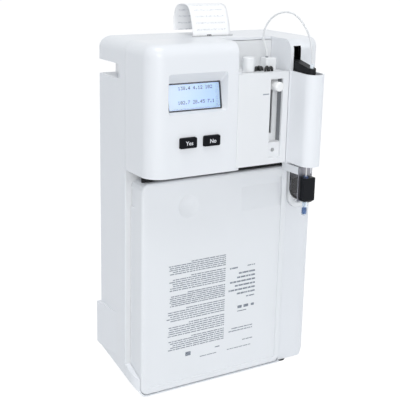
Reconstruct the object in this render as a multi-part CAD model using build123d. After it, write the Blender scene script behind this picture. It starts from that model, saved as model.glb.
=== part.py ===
from build123d import *
from math import cos, hypot, pi, radians, sin, tan
import os

# Benchtop electrolyte analyzer. Millimetres, +Z up, front towards -Y.
# The origin is the middle of the footprint, on the surface that the analyzer stands on.
# A pair gives two limits. _UP and _DOWN are heights above and below the underside of the display
# cover and the column, _DROP is below the top, _AHEAD and _BEHIND are in front of and behind the
# seam, _X is to the right of the column's left edge, and _Z is above the standing surface.

# Whole body
BODY_W = 241.0
BODY_D = 119.0          # display cover's face to the back wall
BODY_H = 394.0
WALL = 2.6
FIT = 0.4               # gap round a part that lifts or swings out
RUNNING = 0.05          # radial clearance of a shaft in its bush
SAMPLER_REACH = 36.0    # sampler cover's face in front of the display cover's
FLARE = 4.2             # how far each side swells at the back, near the base
FLARE_D = 43.0
FLARE_Z = (36.0, 88.0)
FOOT_R = 8.0
FOOT_H = 1.2            # clearance under the base
FOOT_INSET = 38.0
FOOT_MARGIN = 3.0

# Outer form
TOP_ROUND = 12.0
TOP_RIGHT_ROUND = 30.0  # larger round along the right side
COVER_ROUND = 19.0      # upright front left corner
BACK_ROUND = 4.0
SHELL_D = 63.0          # rear casing, from its back wall to the seam with the front covers
SEAM_GAP = 0.6
UPPER_H = 136.0         # height of the display cover and the column
FACET_AHEAD = 15.0      # where the base facet's two sizes are measured
FACET_RISE = 14.9       # height of the facet on the side wall there
FACET_RISE_BACK = 33.0  # the same at the back wall
FACET_INSET = 12.7      # how far in the facet meets the standing surface

# Upper front: display cover, door bay and column, from left to right
BAY_W = 66.5
COLUMN_W = 71.0
RECESS_D = 36.0         # recess above the electrode module, back from the face
RECESS_TOP_GAP = 3.2
PANEL_T = 2.0

# Display and keys
GLASS_SETBACK = 8.0
RECESS_SIDES = (20.2, 12.5)     # from the cover's left and right sides
RECESS_UP = (65.5, 107.0)
RECESS_ROUND = 3.0
GLASS_SIDES = (3.4, 3.2)        # from the recess's left and right sides
GLASS_UP = (67.4, 96.4)
GLASS_ROUND = 1.5
GLASS_T = 1.6
GLASS_LEAN = 10.0       # degrees that the display leans back
LCD_T = 6.0
KEY_W = 19.6
KEY_H = 10.8
KEY_ROUND = 1.4
KEY_PITCH = 28.4
KEYS_ASIDE = 1.9        # middle of the keys right of the recess's middle
KEY_UP = 36.0
KEY_PROUD = 3.0
KEY_TRAVEL = 1.5
KEY_GAP = 0.4
KEY_FLANGE = 1.6
FLANGE_T = 2.8
BOARD_T = 1.6
POST_R = 2.0

# Electrode module, its door and its latch
DOOR_UP = (2.5, 102.5)
DOOR_T = 2.6
DOOR_GAP = 0.5
DOOR_RIM_D = 8.0
DOOR_RIM_T = 2.0
WINDOW_X = (-24.7, -8.5)
WINDOW_UP = (9.0, 95.3)
WINDOW_D = 9.5
WINDOW_WALL = 1.4
HINGE_PIN_R = 0.8
HINGE_PIN_L = 9.0
EAR_T = 2.0
EAR_D = 6.0
MODULE_SIDE_GAP = 3.5
MODULE_BOTTOM_GAP = 2.0
SHELF_T = 9.0
SPINE_T = 4.0
ELECTRODE_COUNT = 4
ELECTRODE_W = 30.0
ELECTRODE_D = 17.0
ELECTRODE_GAP = 0.1
CONTACT_R = 5.0
CONTACT_T = 2.0
FLOW_R = 0.8
CAP_X = -43.5
CAP_Y = 16.0
CAP_R = 6.6
CAP_H = 15.5
PORT_X = -16.0
PORT_Y = 18.0
PORT_W = 13.5
PORT_D = 12.0
PORT_H = 13.5
PIN_OFFSET = 2.5        # grey pin left of the port's middle
PIN_R = 1.6
PIN_H = 1.5
LEAD_X = -33.0
LEAD_Y = 14.8
LEAD_PITCH = 3.4
LEAD_STAGGER = 2.4
LEAD_R = 1.4
LEAD_BEND = 2.6
LEAD_COUNT = 3
TRACK_T = 1.6
GROOVE_W = 5.0
KNOB_R = 5.2
KNOB_PROUD = 6.5
KNOB_UP = 87.4
KNOB_TRAVEL = 50.0
SHOE_W = 9.4
SHOE_T = 2.2
SLIDE_GAP = 0.3
PLATE_H = 16.5
PLATE_BORE = 2.3
PLATE_SETBACK = 3.2

# Sampler
SLOT_X = (4.2, 14.6)
SLOT_UP = 8.0           # the slot's lower end
SLOT_DROP = 7.0         # its upper end
GUARD_X = (1.0, 24.0)
GUARD_UP = (2.5, 103.0)
GUARD_ROUND = 11.0
GUARD_WALL = 2.0
GUARD_DROP = 1.0        # how much lower the guard's front edge is
PROBE_OUT = 25.0        # probe axis in front of the face
PROBE_R = 0.8
PROBE_DOWN = 50.0       # the probe's tip
SOCKET_R = 1.9
SOCKET_H = 5.0
ARM_W = 9.2
ARM_DROP = 22.0         # the arm's top at the face
ARM_TIP_DROP = 27.5     # its top at the probe
ARM_UNDER_DROP = 36.5   # its underside
ARM_ROUND = 2.0
DRIVE_SETBACK = 26.0    # screw and rod axes behind the face
CARRIAGE_H = 16.0
CARRIAGE_D = 14.0
CARRIAGE_SIDE = 5.5
GUIDE_R = 2.5
GUIDE_APART = 16.0
SCREW_R = 3.0
JOURNAL_R = 1.5
MOTOR_SIDE = 28.0
MOTOR_H = 30.0
FRAME_T = 1.5
FRAME_FRONT = 8.0
FRAME_BACK = 16.0
FRAME_SIDE = 7.0
FRAME_TOP_GAP = 6.0

# Wiper below the sampler
STEEL_T = 1.4
LEAF_X = (2.4, 18.0)
LEAF_DOWN = 38.0
WIPER_X = (5.0, 19.6)
WIPER_D = 7.6
WIPER_DOWN = (39.0, 11.0)
WIPER_CHAMFER = 2.6
SLEEVE_R = 3.0
SLEEVE_DOWN = 53.0
SEAL_R = 1.9
SEAL_L = 7.0
COLLAR_R = 3.6
COLLAR_H = 2.0
GUIDE_BLOCK_H = 8.4

# Peristaltic pump, right of the pack
PUMP_INSET = 25.8       # rotor axis from the body's right side
PUMP_DOWN = 37.0        # rotor axis
PUMP_TOP_DOWN = 10.0
PUMP_PROUD = 4.0
PUMP_DEPTH = 18.0
PUMP_FLOOR = 2.2
HOUSING_R = 16.0
HOUSING_DOWN = 47.5     # middle of the round lower end
CHIN_ROUND = 2.2
RACE_R = 13.4
COVER_R = 15.4
COVER_DOWN = 37.6
COVER_T = 2.0
HOSE_R = 1.4
HOSE_GAP = 0.1
ROLLER_R = 2.8
ROLLER_GAP = 0.3
ROLLER_COUNT = 3
ROLLER_L = 7.0
ROLLER_PIN_R = 1.0
DISC_T = 1.8
DISC_RIM = 1.6
HUB_R = 3.0
SHAFT_R = 2.0
SHAFT_L = 4.0
GEARMOTOR_R = 14.0
GEARMOTOR_L = 30.0
STUB_L = 1.5
SLEEVE_PORT = (3.2, 2.2, 11.2)      # start of the wiper's tube from the probe's axis and the sleeve's foot
SLEEVE_AIM = (-4.4, -3.0, 0.0)      # direction of its nipple
PUMP_PORT = (-6.4, -2.0, -18.4)     # its end from the rotor's axis and the pump's front
PUMP_AIM = (1.1, 4.4, -0.8)

# Solution pack
PACK_SIDES = (6.7, 44.6)        # from the body's left and right sides
PACK_AHEAD = 26.9
PACK_FOOT = 2.6         # above the standing surface
PACK_TOP_DOWN = 11.3
PACK_ROUND = 9.0
PACK_EDGE = 3.0
PACK_BORDER = 8.0
PANEL_DROP = 1.2
PACK_WALL = 2.4
BOX_INSET = 5.5
BOX_BEHIND = 36.0
BOX_WALL = 1.5
BAY_CLEAR = 2.0
CHASSIS_T = 2.4
DIMPLE_SIDE = 57.9      # from the pack's left side
DIMPLE_DOWN = 42.3
DIMPLE_R = 13.0
DIMPLE_DEPTH = 3.0
GRIP_W = 56.0
GRIP_SIDE = 6.4         # from the pack's right side
GRIP_DOWN = (57.0, 23.0)
GRIP_DEPTH = 6.0
GRIP_LEDGE = 8.0
FINGER_GAP_DOWN = 40.0
FINGER_GAP_D = 9.5
POUCH_COUNT = 3
POUCH_GAP = 1.5
POUCH_DOWN = 78.0
POUCH_ROUND = 8.0
NIPPLE_DOWN = 54.0
NIPPLE_COUNT = 5
NIPPLE_R = 2.0
NIPPLE_L = 7.0
NIPPLE_PITCH = 12.0
NIPPLE_GAP = 0.3
BAR_H = 14.0
BAR_T = 8.0
BAR_SIDE = 8.0
VALVE_T = 10.0
VALVE_H = 24.0

# Lower front
LIP_Z = (21.4, 33.0)    # sloping left lip of the tray: height at the pack's face and at the seam
TRAY_ROUND = 15.0
TRAY_T = 1.0
PANEL_AHEAD = 22.0
PANEL_ROUND = 15.0
PANEL_GAP = 1.2

# Printer and paper
PAPER_W = 48.0
PAPER_ASIDE = 12.5      # middle of the paper left of the body's middle
PAPER_T = 0.3
PAPER_CURL = (          # printed end of the strip: back from the slot, and above the top
    (0.0, 4.5), (5.8, 23.0), (12.3, 33.6), (32.3, 33.6), (40.1, 26.0), (42.1, 15.0), (41.5, 3.5),
)
PAPER_SLOT_BEHIND = (2.8, 6.6)
SLOT_SIDE = 2.0
PLATEN_R = 5.0
PLATEN_DROP = 13.0
PLATEN_GAP = 0.1
ROLL_R = 19.0
ROLL_BEHIND = 29.5
ROLL_DROP = 43.0
SPINDLE_R = 4.0
SPINDLE_GAP = 0.1
CHEEK_T = 2.0
CHEEK_GAP = 3.0
TIE_T = 1.2
TIE_H = 18.0
TIE_FLANGE = 6.0
BAR_DROP = 7.0          # tear bar's foot below the top
BAR_BLADE = 0.8
TOOTH = 2.0
HATCH_SIDE = 6.0        # how far the hatch is wider than the paper, on each side
HATCH_DROP = (66.0, 14.0)
HATCH_PIN_R = 0.7
HATCH_PIN_L = 1.6
PULL_W = 18.0
PULL_H = 5.0
PULL_DEPTH = 1.4

# Back wall
INLET_INSET = 35.0      # from the body's right side
INLET_Z = 60.0
INLET_W = 27.5
INLET_H = 20.0
INLET_D = 16.0
SWITCH_Z = 92.0
SWITCH_W = 21.0
SWITCH_H = 14.0
SWITCH_D = 12.0
SOCKET_WALL = 2.2
BLADE_T = 2.0
BLADE_H = 4.0
BLADE_SUNK = 3.0
BLADES = ((-7.0, -2.0), (0.0, 2.0), (7.0, -2.0))
ROCKER_GAP = 1.2
ROCKER_UP = 2.6
ROCKER_DOWN = 1.5
ROCKER_TILT = 9.0
ROCKER_SINK = 4.0
ROCKER_PIN_R = 1.0
ROCKER_PIN_L = 1.2
VENT_COUNT = 9
VENT_PITCH = 8.0
VENT_W = 3.0
VENT_Z = (130.0, 190.0)
SCREW_INSET = 14.0
SCREW_LOW_Z = 110.0
SCREW_TOP_DROP = 74.0
HEAD_R = 3.2
HEAD_T = 1.4
THREAD_R = 1.5
THREAD_L = 8.0
MAIN_BOARD_SIDE = 26.0  # from the body's left side
MAIN_BOARD_GAP = 4.0    # to the hatch
MAIN_BOARD_DROP = (132.0, 22.0)
MAIN_BOARD_OFF = 8.0
SUPPLY_D = 36.0
SUPPLY_Z = (46.0, 150.0)

# Grip notches at the rear corners
NOTCH_D = 50.5
NOTCH_IN = 21.0
NOTCH_DROP = (41.0, 25.6)

# Free tubes, as points of the whole model, chosen clear of all that they pass
TUBE_R = 1.0
SAMPLE_ROUTE = [(31.0, -23.5, 375.5), (31.0, -23.5, 381.0), (29.2, -20.8, 389.0), (28.2, -19.1, 397.5),
                (29.6, -21.3, 407.5), (33.2, -26.9, 416.8), (38.6, -35.2, 422.8), (45.2, -45.3, 423.2),
                (50.3, -53.3, 417.0), (54.2, -59.2, 407.8), (57.2, -63.9, 397.0), (58.5, -65.9, 384.5),
                (58.9, -66.5, 375.5), (58.9, -66.5, 370.5)]
WIPER_ROUTE = [(62.1, -64.3, 216.2), (66.5, -61.3, 216.2), (72.5, -57.1, 215.4), (77.5, -51.1, 213.8),
               (79.3, -42.7, 211.6), (80.6, -33.3, 209.0), (84.4, -24.5, 205.4), (87.2, -17.9, 203.4),
               (88.3, -13.5, 202.6)]

# Places worked out from the sizes above
LEFT = -BODY_W / 2
RIGHT = BODY_W / 2
FACE = (SAMPLER_REACH - BODY_D) / 2
BACK = FACE + BODY_D
SEAM = BACK - SHELL_D
UNDER = FOOT_H
UPPER_Z = BODY_H - UPPER_H
COLUMN_LEFT = RIGHT - COLUMN_W
DOOR_LEFT = COLUMN_LEFT - BAY_W
RECESS_BACK = FACE + RECESS_D
CHASSIS_FRONT = SEAM - SEAM_GAP
CHASSIS_BACK = SEAM + CHASSIS_T
FAR = 600.0             # longer than any part, for cutters
OVER = 1.0              # how far a cutter passes the face that it opens


def at_x(value):
    """X of a point measured from the column's left edge."""
    return COLUMN_LEFT + value


def at_y(value):
    """Y of a point measured back from the display cover's face."""
    return FACE + value


def span_x(pair):
    return (at_x(pair[0]), at_x(pair[1]))


def above(pair):
    """Heights measured up from the underside of the display cover and the column."""
    return (UPPER_Z + pair[0], UPPER_Z + pair[1])


def below(datum, pair):
    return (datum - pair[0], datum - pair[1])


def grown(pair, by):
    return (pair[0] - by, pair[1] + by)


def about(middle, half):
    return (middle - half, middle + half)


def block(x, y, z, upright_round=0.0):
    """A box between two limits on each axis."""
    size = (x[1] - x[0], y[1] - y[0], z[1] - z[0])
    middle = ((x[0] + x[1]) / 2, (y[0] + y[1]) / 2, (z[0] + z[1]) / 2)
    solid = Pos(*middle) * Box(*size)
    if upright_round > 0:
        solid = fillet(solid.edges().filter_by(Axis.Z), upright_round)
    return solid


def rod_x(y, z, radius, x):
    return Pos((x[0] + x[1]) / 2, y, z) * Rot(0, 90, 0) * Cylinder(radius, x[1] - x[0])


def rod_y(x, z, radius, y):
    return Pos(x, (y[0] + y[1]) / 2, z) * Rot(90, 0, 0) * Cylinder(radius, y[1] - y[0])


def rod_z(x, y, radius, z):
    return Pos(x, y, (z[0] + z[1]) / 2) * Cylinder(radius, z[1] - z[0])


def outline(corners):
    """A flat face from corners given as (x, y, radius), in either direction round."""
    turn = sum(a[0] * b[1] - b[0] * a[1] for a, b in zip(corners, corners[1:] + corners[:1]))
    ordered = corners if turn > 0 else corners[::-1]
    face = Face(Wire.make_polygon([(c[0], c[1]) for c in ordered], close=True))
    for x, y, radius in ordered:
        if radius > 0:
            corner = face.vertices().sort_by_distance((x, y, 0))[0]
            face = face.fillet_2d(radius, [corner])
    return face


def rectangle(x, y, radius=0.0):
    return outline([(x[0], y[0], radius), (x[1], y[0], radius), (x[1], y[1], radius), (x[0], y[1], radius)])


def upright(y):
    """The plane facing the front at Y, with X to the right and Z up."""
    return Plane(origin=(0, y, 0), x_dir=(1, 0, 0), z_dir=(0, -1, 0))


def prism_x(face, x):
    """A face drawn in Y and Z, carried along X."""
    return extrude(Plane.YZ.offset(x[0]) * face, x[1] - x[0])


def prism_y(face, y):
    """A face drawn in X and Z, carried along Y."""
    return extrude(upright(y[1]) * face, y[1] - y[0])


def prism_z(face, z):
    """A face drawn in X and Y, carried along Z."""
    return extrude(Pos(0, 0, z[0]) * face, z[1] - z[0])


def facet_cutter(side, inset):
    """Everything below the sloped facet along one side of the base."""
    wall = side * (BODY_W / 2 - inset)
    front = Vector(wall, SEAM - FACET_AHEAD, FACET_RISE + inset)
    back = Vector(wall, BACK, FACET_RISE_BACK + inset)
    inner = Vector(wall - side * FACET_INSET, SEAM - FACET_AHEAD, inset)
    normal = (back - front).cross(inner - front) * side
    plane = Plane(origin=front, x_dir=back - front, z_dir=normal)
    return plane * Pos(0, 0, -FAR / 2) * Box(2 * FAR, 2 * FAR, FAR)


def body_form(inset):
    """The whole outer body, or its inside when inset by a wall. Only the column has the large round."""
    form = prism_z(outline([
        (LEFT + inset, FACE + inset, COVER_ROUND - inset),
        (RIGHT - inset, FACE + inset, COLUMN_W - inset),
        (RIGHT - inset, BACK - inset, BACK_ROUND - inset),
        (LEFT + inset, BACK - inset, BACK_ROUND - inset),
    ]), (UNDER + inset, BODY_H - inset))
    form = fillet(form.faces().sort_by(Axis.Z)[-1].edges(), TOP_ROUND - inset)
    form = form & prism_y(outline([
        (LEFT - FAR, -FAR, 0),
        (RIGHT - inset, -FAR, 0),
        (RIGHT - inset, BODY_H - inset, TOP_RIGHT_ROUND - inset),
        (LEFT - FAR, BODY_H - inset, 0),
    ]), (FACE - OVER, BACK + OVER))
    straight = ((0, RIGHT - inset), (FACE + inset, BACK - 2 * BACK_ROUND), (UNDER + inset, UPPER_Z - inset))
    form = form + block(*straight)
    for side in (-1, 1):
        form = form - facet_cutter(side, inset)
    return form


OUTER = body_form(0.0)
INNER = body_form(WALL)
SKIN = OUTER - INNER

# Rear casing
PACK_FACE = SEAM - PACK_AHEAD
PAPER_X = about(-PAPER_ASIDE, PAPER_W / 2)
PAPER_SLOT_Y = (SEAM + PAPER_SLOT_BEHIND[0], SEAM + PAPER_SLOT_BEHIND[1])
HATCH_X = grown(PAPER_X, HATCH_SIDE)
HATCH_Z = below(BODY_H, HATCH_DROP)
NOTCH_Z = below(BODY_H, NOTCH_DROP)
MAIN_BOARD_X = (LEFT + MAIN_BOARD_SIDE, HATCH_X[0] - MAIN_BOARD_GAP)
MAIN_BOARD_Z = below(BODY_H, MAIN_BOARD_DROP)
INLET_X = RIGHT - INLET_INSET
SCREW_XS = (LEFT + SCREW_INSET, RIGHT - SCREW_INSET)
SCREW_TOP_Z = BODY_H - SCREW_TOP_DROP
SCREW_ZS = (SCREW_LOW_Z, (SCREW_LOW_Z + SCREW_TOP_Z) / 2, SCREW_TOP_Z)
BOARD_Y = BACK - WALL - MAIN_BOARD_OFF
HATCH_R = WALL / 2
HATCH_AXIS_Y = BACK - HATCH_R
HATCH_AXIS_Z = HATCH_Z[0] + FIT + HATCH_R


def notch_face(side, grow):
    """The grip notch in plan: a triangle across a rear corner, its long side moved in."""
    slant = hypot(NOTCH_D, NOTCH_IN)
    wall = side * BODY_W / 2
    start_y = BACK - NOTCH_D - grow * slant / NOTCH_IN
    end_x = wall - side * (NOTCH_IN + grow * slant / NOTCH_D)
    return outline([(wall, start_y, 0), (wall + side * OVER, start_y, 0),
                    (wall + side * OVER, BACK + OVER, 0), (end_x, BACK + OVER, 0), (end_x, BACK, 0)])


def side_swell(side):
    """The low wedge on each side towards the back."""
    wall = side * BODY_W / 2
    plan = outline([(wall - side * WALL / 2, BACK - FLARE_D, 0), (wall, BACK - FLARE_D, 0),
                    (wall + side * FLARE, BACK, 0), (wall - side * WALL / 2, BACK, 0)])
    return prism_z(plan, FLARE_Z) - facet_cutter(side, 0.0)


def back_cuts():
    """Everything that opens the back wall."""
    through = (BACK - WALL - OVER, BACK + OVER)
    cuts = [
        block(HATCH_X, through, HATCH_Z),
        block(about(INLET_X, INLET_W / 2), through, about(INLET_Z, INLET_H / 2)),
        block(about(INLET_X, SWITCH_W / 2), through, about(SWITCH_Z, SWITCH_H / 2)),
        rod_x(HATCH_AXIS_Y, HATCH_AXIS_Z, HATCH_PIN_R + RUNNING, grown(HATCH_X, HATCH_PIN_L)),
    ]
    for i in range(VENT_COUNT):
        x = (i - (VENT_COUNT - 1) / 2) * VENT_PITCH
        cuts.append(block(about(x, VENT_W / 2), through, VENT_Z))
    for x in SCREW_XS:
        for z in SCREW_ZS:
            cuts.append(rod_y(x, z, THREAD_R, through))
            cuts.append(rod_y(x, z, HEAD_R, (BACK - HEAD_T, BACK + OVER)))
    return cuts


def rear_casing():
    """One moulded shell: back, sides, top and base behind the seam."""
    casing = SKIN & block((-FAR, FAR), (SEAM, FAR), (-FAR, FAR))
    tongue = block(grown((DOOR_LEFT, COLUMN_LEFT), -SEAM_GAP), (RECESS_BACK, SEAM), (BODY_H - WALL, FAR))
    casing = casing + (OUTER & tongue)
    for side in (-1, 1):
        casing = casing + side_swell(side)
        casing = casing + (OUTER & prism_z(notch_face(side, WALL), grown(NOTCH_Z, WALL)))
        casing = casing - prism_z(notch_face(side, 0.0), NOTCH_Z)
    for x in grown(MAIN_BOARD_X, -2 * POST_R):
        for z in grown(MAIN_BOARD_Z, -2 * POST_R):
            casing = casing + rod_y(x, z, POST_R, (BOARD_Y, BACK - WALL / 2))
    for cut in back_cuts():
        casing = casing - cut
    return casing - block(grown(PAPER_X, SLOT_SIDE), PAPER_SLOT_Y, (BODY_H - WALL - OVER, FAR))


def rubber_feet():
    """Four feet on the flat underside."""
    x = BODY_W / 2 - FOOT_INSET
    depths = (PACK_FACE + FOOT_R + FOOT_MARGIN, BACK - FOOT_R - FOOT_MARGIN)
    return [rod_z(side * x, y, FOOT_R, (0, UNDER)) for side in (-1, 1) for y in depths]


def casing_screws():
    """Six screws that hold the back of the casing."""
    screws = []
    for x in SCREW_XS:
        for z in SCREW_ZS:
            head = rod_y(x, z, HEAD_R, (BACK - HEAD_T, BACK - RUNNING))
            screws.append(head + rod_y(x, z, THREAD_R, (BACK - THREAD_L, BACK - HEAD_T)))
    return screws


# Front chassis and the bay for the pack
PANEL_Y = PACK_FACE + PANEL_DROP
PACK_REAR = CHASSIS_FRONT - FIT
PACK_X = (LEFT + PACK_SIDES[0], RIGHT - PACK_SIDES[1])
PACK_Z = (PACK_FOOT, UPPER_Z - PACK_TOP_DOWN)
PUMP_X = RIGHT - PUMP_INSET
PUMP_Z = UPPER_Z - PUMP_DOWN
PLATEN_Z = BODY_H - PLATEN_DROP
NIPPLE_Z = UPPER_Z - NIPPLE_DOWN
BOX_X = grown(PACK_X, -BOX_INSET)
BOX_Z = grown(PACK_Z, -BOX_INSET)
BOX_Y = (PACK_FACE + GRIP_DEPTH + PACK_WALL, SEAM + BOX_BEHIND)
BAY_X = grown(BOX_X, BAY_CLEAR)
BAY_Z = grown(BOX_Z, BAY_CLEAR)
BAY_BACK = BOX_Y[1] + BAY_CLEAR
PRINT_X = grown(PAPER_X, CHEEK_GAP)
NIPPLE_XS = [sum(PACK_X) / 2 + (i - (NIPPLE_COUNT - 1) / 2) * NIPPLE_PITCH for i in range(NIPPLE_COUNT)]


def front_chassis():
    """Bulkhead at the seam with the tub that takes the solution pack."""
    lip = body_form(WALL / 2) & block((-FAR, FAR), (CHASSIS_FRONT, SEAM), (-FAR, FAR))
    plate = INNER & block((-FAR, FAR), (SEAM, CHASSIS_BACK), (-FAR, FAR))
    tub = INNER & block(grown(BAY_X, CHASSIS_T), (SEAM, BAY_BACK + CHASSIS_T), grown(BAY_Z, CHASSIS_T))
    bay = block(BAY_X, (CHASSIS_FRONT - OVER, BAY_BACK), BAY_Z)
    for side in (-1, 1):
        bay = bay - facet_cutter(side, WALL + CHASSIS_T)
    chassis = lip + plate + tub - bay
    through = (CHASSIS_FRONT - OVER, CHASSIS_BACK + OVER)
    upper = (UPPER_Z + TOP_ROUND, BODY_H - TOP_RIGHT_ROUND)
    openings = [
        block((LEFT + TOP_ROUND, DOOR_LEFT - TOP_ROUND), through, upper),
        block(grown((DOOR_LEFT, COLUMN_LEFT), -TOP_ROUND / 2), through, upper),
        block((COLUMN_LEFT + TOP_ROUND, RIGHT - TOP_ROUND), through, upper),
        block(grown(PRINT_X, CHEEK_T + FIT), through, (PLATEN_Z - TIE_H, FAR)),
        rod_y(PUMP_X, PUMP_Z, GEARMOTOR_R + FIT, through),
        block(grown((DOOR_LEFT, COLUMN_LEFT), -SEAM_GAP), (CHASSIS_FRONT - OVER, SEAM),
              (BODY_H - WALL - OVER, FAR)),
    ]
    for opening in openings:
        chassis = chassis - opening
    for x in NIPPLE_XS:
        hole = rod_y(x, NIPPLE_Z, NIPPLE_R + NIPPLE_GAP, (BAY_BACK - OVER, BAY_BACK + CHASSIS_T + OVER))
        chassis = chassis - hole
    return chassis


def pack_outline(grow, y):
    """The pack's rounded front outline, carried along Y."""
    face = rectangle(grown(PACK_X, grow), grown(PACK_Z, grow), PACK_ROUND + grow)
    return prism_y(face, y)


def front_tray():
    """Shallow tray under the pack, with a sloping lip up its left side."""
    plan = outline([(LEFT, PACK_FACE, TRAY_ROUND), (RIGHT, PACK_FACE, 0), (RIGHT, CHASSIS_FRONT, 0),
                    (LEFT, CHASSIS_FRONT, 0)])
    tray = prism_z(plan, (UNDER, LIP_Z[1] + OVER)) - facet_cutter(-1, 0.0)
    slope = (LIP_Z[1] - LIP_Z[0]) / (CHASSIS_FRONT - PACK_FACE)
    above = outline([(PACK_FACE - OVER, LIP_Z[0] - slope * OVER, 0),
                     (CHASSIS_FRONT + OVER, LIP_Z[1] + slope * OVER, 0),
                     (CHASSIS_FRONT + OVER, FAR, 0), (PACK_FACE - OVER, FAR, 0)])
    tray = tray - prism_x(above, (-FAR, FAR))
    tray = tray - (pack_outline(FIT, (PACK_FACE - OVER, FAR)) - facet_cutter(-1, TRAY_T))
    corner = block((PACK_X[1] - PACK_ROUND, FAR), (-FAR, FAR), (PACK_Z[0] - FIT, FAR))
    return tray - corner - block((PACK_X[1] + FIT, FAR), (-FAR, FAR), (-FAR, FAR))


# Peristaltic pump
PANEL_FACE = SEAM - PANEL_AHEAD
PUMP_FRONT = PANEL_FACE - PUMP_PROUD
PUMP_BACK = PUMP_FRONT + PUMP_DEPTH
PUMP_TOP = UPPER_Z - PUMP_TOP_DOWN
HOUSING_Z = UPPER_Z - HOUSING_DOWN
COVER_Z = UPPER_Z - COVER_DOWN
HOSE_PATH_R = RACE_R - HOSE_R - HOSE_GAP
ROLLER_PITCH = HOSE_PATH_R - HOSE_R - ROLLER_GAP - ROLLER_R
ROTOR_BACK = PUMP_BACK - PUMP_FLOOR - FIT
ROTOR_Y = (ROTOR_BACK - ROLLER_L - 2 * DISC_T - 2 * FIT, ROTOR_BACK)
ROLLER_Y = grown(ROTOR_Y, -DISC_T - FIT)
HOSE_Y = sum(ROLLER_Y) / 2
HOSE_TOP = UPPER_Z + WALL - FIT


def stadium(middle, radius, top, y):
    """A shape round below its middle and straight above, carried along Y."""
    return block(about(PUMP_X, radius), y, (middle, top)) + rod_y(PUMP_X, middle, radius, y)


def hose_slot(z):
    """Room for the two rising legs of the pump's hose."""
    return block(about(PUMP_X, HOSE_PATH_R + HOSE_R + FIT), about(HOSE_Y, HOSE_R + FIT), z)


def stub(end, aim):
    """A nipple that carries a tube's end on in a straight line."""
    return Plane(origin=end, z_dir=aim) * Pos(0, 0, STUB_L / 2) * Cylinder(TUBE_R, STUB_L)


def pump_housing():
    """White cup that holds rotor and hose, with a nipple for the wiper's tube."""
    housing = stadium(HOUSING_Z, HOUSING_R, PUMP_TOP, (PUMP_FRONT, PUMP_BACK))
    rim = housing.faces().sort_by(Axis.Y)[0].edges().filter_by(GeomType.CIRCLE)
    housing = fillet(rim, CHIN_ROUND)
    race_y = (PUMP_FRONT - OVER, PUMP_BACK - PUMP_FLOOR)
    housing = housing - stadium(PUMP_Z, RACE_R, PUMP_TOP - PUMP_FLOOR, race_y)
    housing = housing - rod_y(PUMP_X, PUMP_Z, SHAFT_R + RUNNING, (PUMP_FRONT, PUMP_BACK + OVER))
    housing = housing - hose_slot((PUMP_TOP - PUMP_FLOOR - OVER, PUMP_TOP + OVER))
    end = (PUMP_X + PUMP_PORT[0], PUMP_FRONT + PUMP_PORT[1], PUMP_Z + PUMP_PORT[2])
    boss = rod_y(end[0], end[2], 2 * TUBE_R, (PUMP_FRONT - STUB_L / 2, PUMP_FRONT + CHIN_ROUND))
    return housing + stub(end, PUMP_AIM) + boss


def pump_cover():
    """Smoked window over the pump."""
    return stadium(COVER_Z, COVER_R, PUMP_TOP, (PUMP_FRONT - COVER_T, PUMP_FRONT))


def roller_axis(index):
    angle = 2 * pi * index / ROLLER_COUNT + pi / 2
    return PUMP_X + ROLLER_PITCH * cos(angle), PUMP_Z + ROLLER_PITCH * sin(angle)


def pump_rotor():
    """Two discs on the motor's shaft, with a pin for each roller."""
    rotor = rod_y(PUMP_X, PUMP_Z, HUB_R, ROTOR_Y)
    rotor = rotor + rod_y(PUMP_X, PUMP_Z, SHAFT_R, (ROTOR_Y[1], PUMP_BACK + SHAFT_L))
    for disc in ((ROTOR_Y[0], ROTOR_Y[0] + DISC_T), (ROTOR_Y[1] - DISC_T, ROTOR_Y[1])):
        rotor = rotor + rod_y(PUMP_X, PUMP_Z, ROLLER_PITCH + DISC_RIM, disc)
    for i in range(ROLLER_COUNT):
        px, pz = roller_axis(i)
        rotor = rotor + rod_y(px, pz, ROLLER_PIN_R, ROTOR_Y)
    return rotor


def pump_roller(index):
    x, z = roller_axis(index)
    return rod_y(x, z, ROLLER_R, ROLLER_Y) - rod_y(x, z, ROLLER_PIN_R + RUNNING, (-FAR, FAR))


def pump_hose():
    """Hose that loops under the rollers, with both ends up into the column."""
    left, right = about(PUMP_X, HOSE_PATH_R)
    low_left, low_right = (left, HOSE_Y, PUMP_Z), (right, HOSE_Y, PUMP_Z)
    path = Wire([
        Edge.make_line((left, HOSE_Y, HOSE_TOP), low_left),
        Edge.make_three_point_arc(low_left, (PUMP_X, HOSE_Y, PUMP_Z - HOSE_PATH_R), low_right),
        Edge.make_line(low_right, (right, HOSE_Y, HOSE_TOP)),
    ])
    section = Plane(origin=(left, HOSE_Y, HOSE_TOP), z_dir=(0, 0, -1)) * Circle(HOSE_R)
    return sweep(section, path=path)


def pump_motor():
    """Geared motor behind the pump."""
    motor = rod_y(PUMP_X, PUMP_Z, GEARMOTOR_R, (PUMP_BACK, PUMP_BACK + GEARMOTOR_L))
    return motor - rod_y(PUMP_X, PUMP_Z, SHAFT_R + RUNNING, (PUMP_BACK - OVER, PUMP_BACK + SHAFT_L + FIT))


def side_panel():
    """Lower right front, beside the pack, up to the column."""
    left = PACK_X[1] + PANEL_GAP

    def form(inset, rear):
        plan = outline([(left + inset, PANEL_FACE + inset, 0),
                        (RIGHT - inset, PANEL_FACE + inset, PANEL_ROUND - inset),
                        (RIGHT - inset, rear, 0), (left + inset, rear, 0)])
        return prism_z(plan, (UNDER + inset, UPPER_Z - FIT - inset)) - facet_cutter(1, inset)

    panel = form(0.0, CHASSIS_FRONT) - form(WALL, CHASSIS_FRONT + OVER)
    panel = panel - hose_slot((UPPER_Z - FIT - WALL - OVER, UPPER_Z))
    through = (PANEL_FACE - OVER, PUMP_BACK + FIT)
    return panel - stadium(HOUSING_Z, HOUSING_R + FIT / 2, PUMP_TOP + FIT / 2, through)


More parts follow.
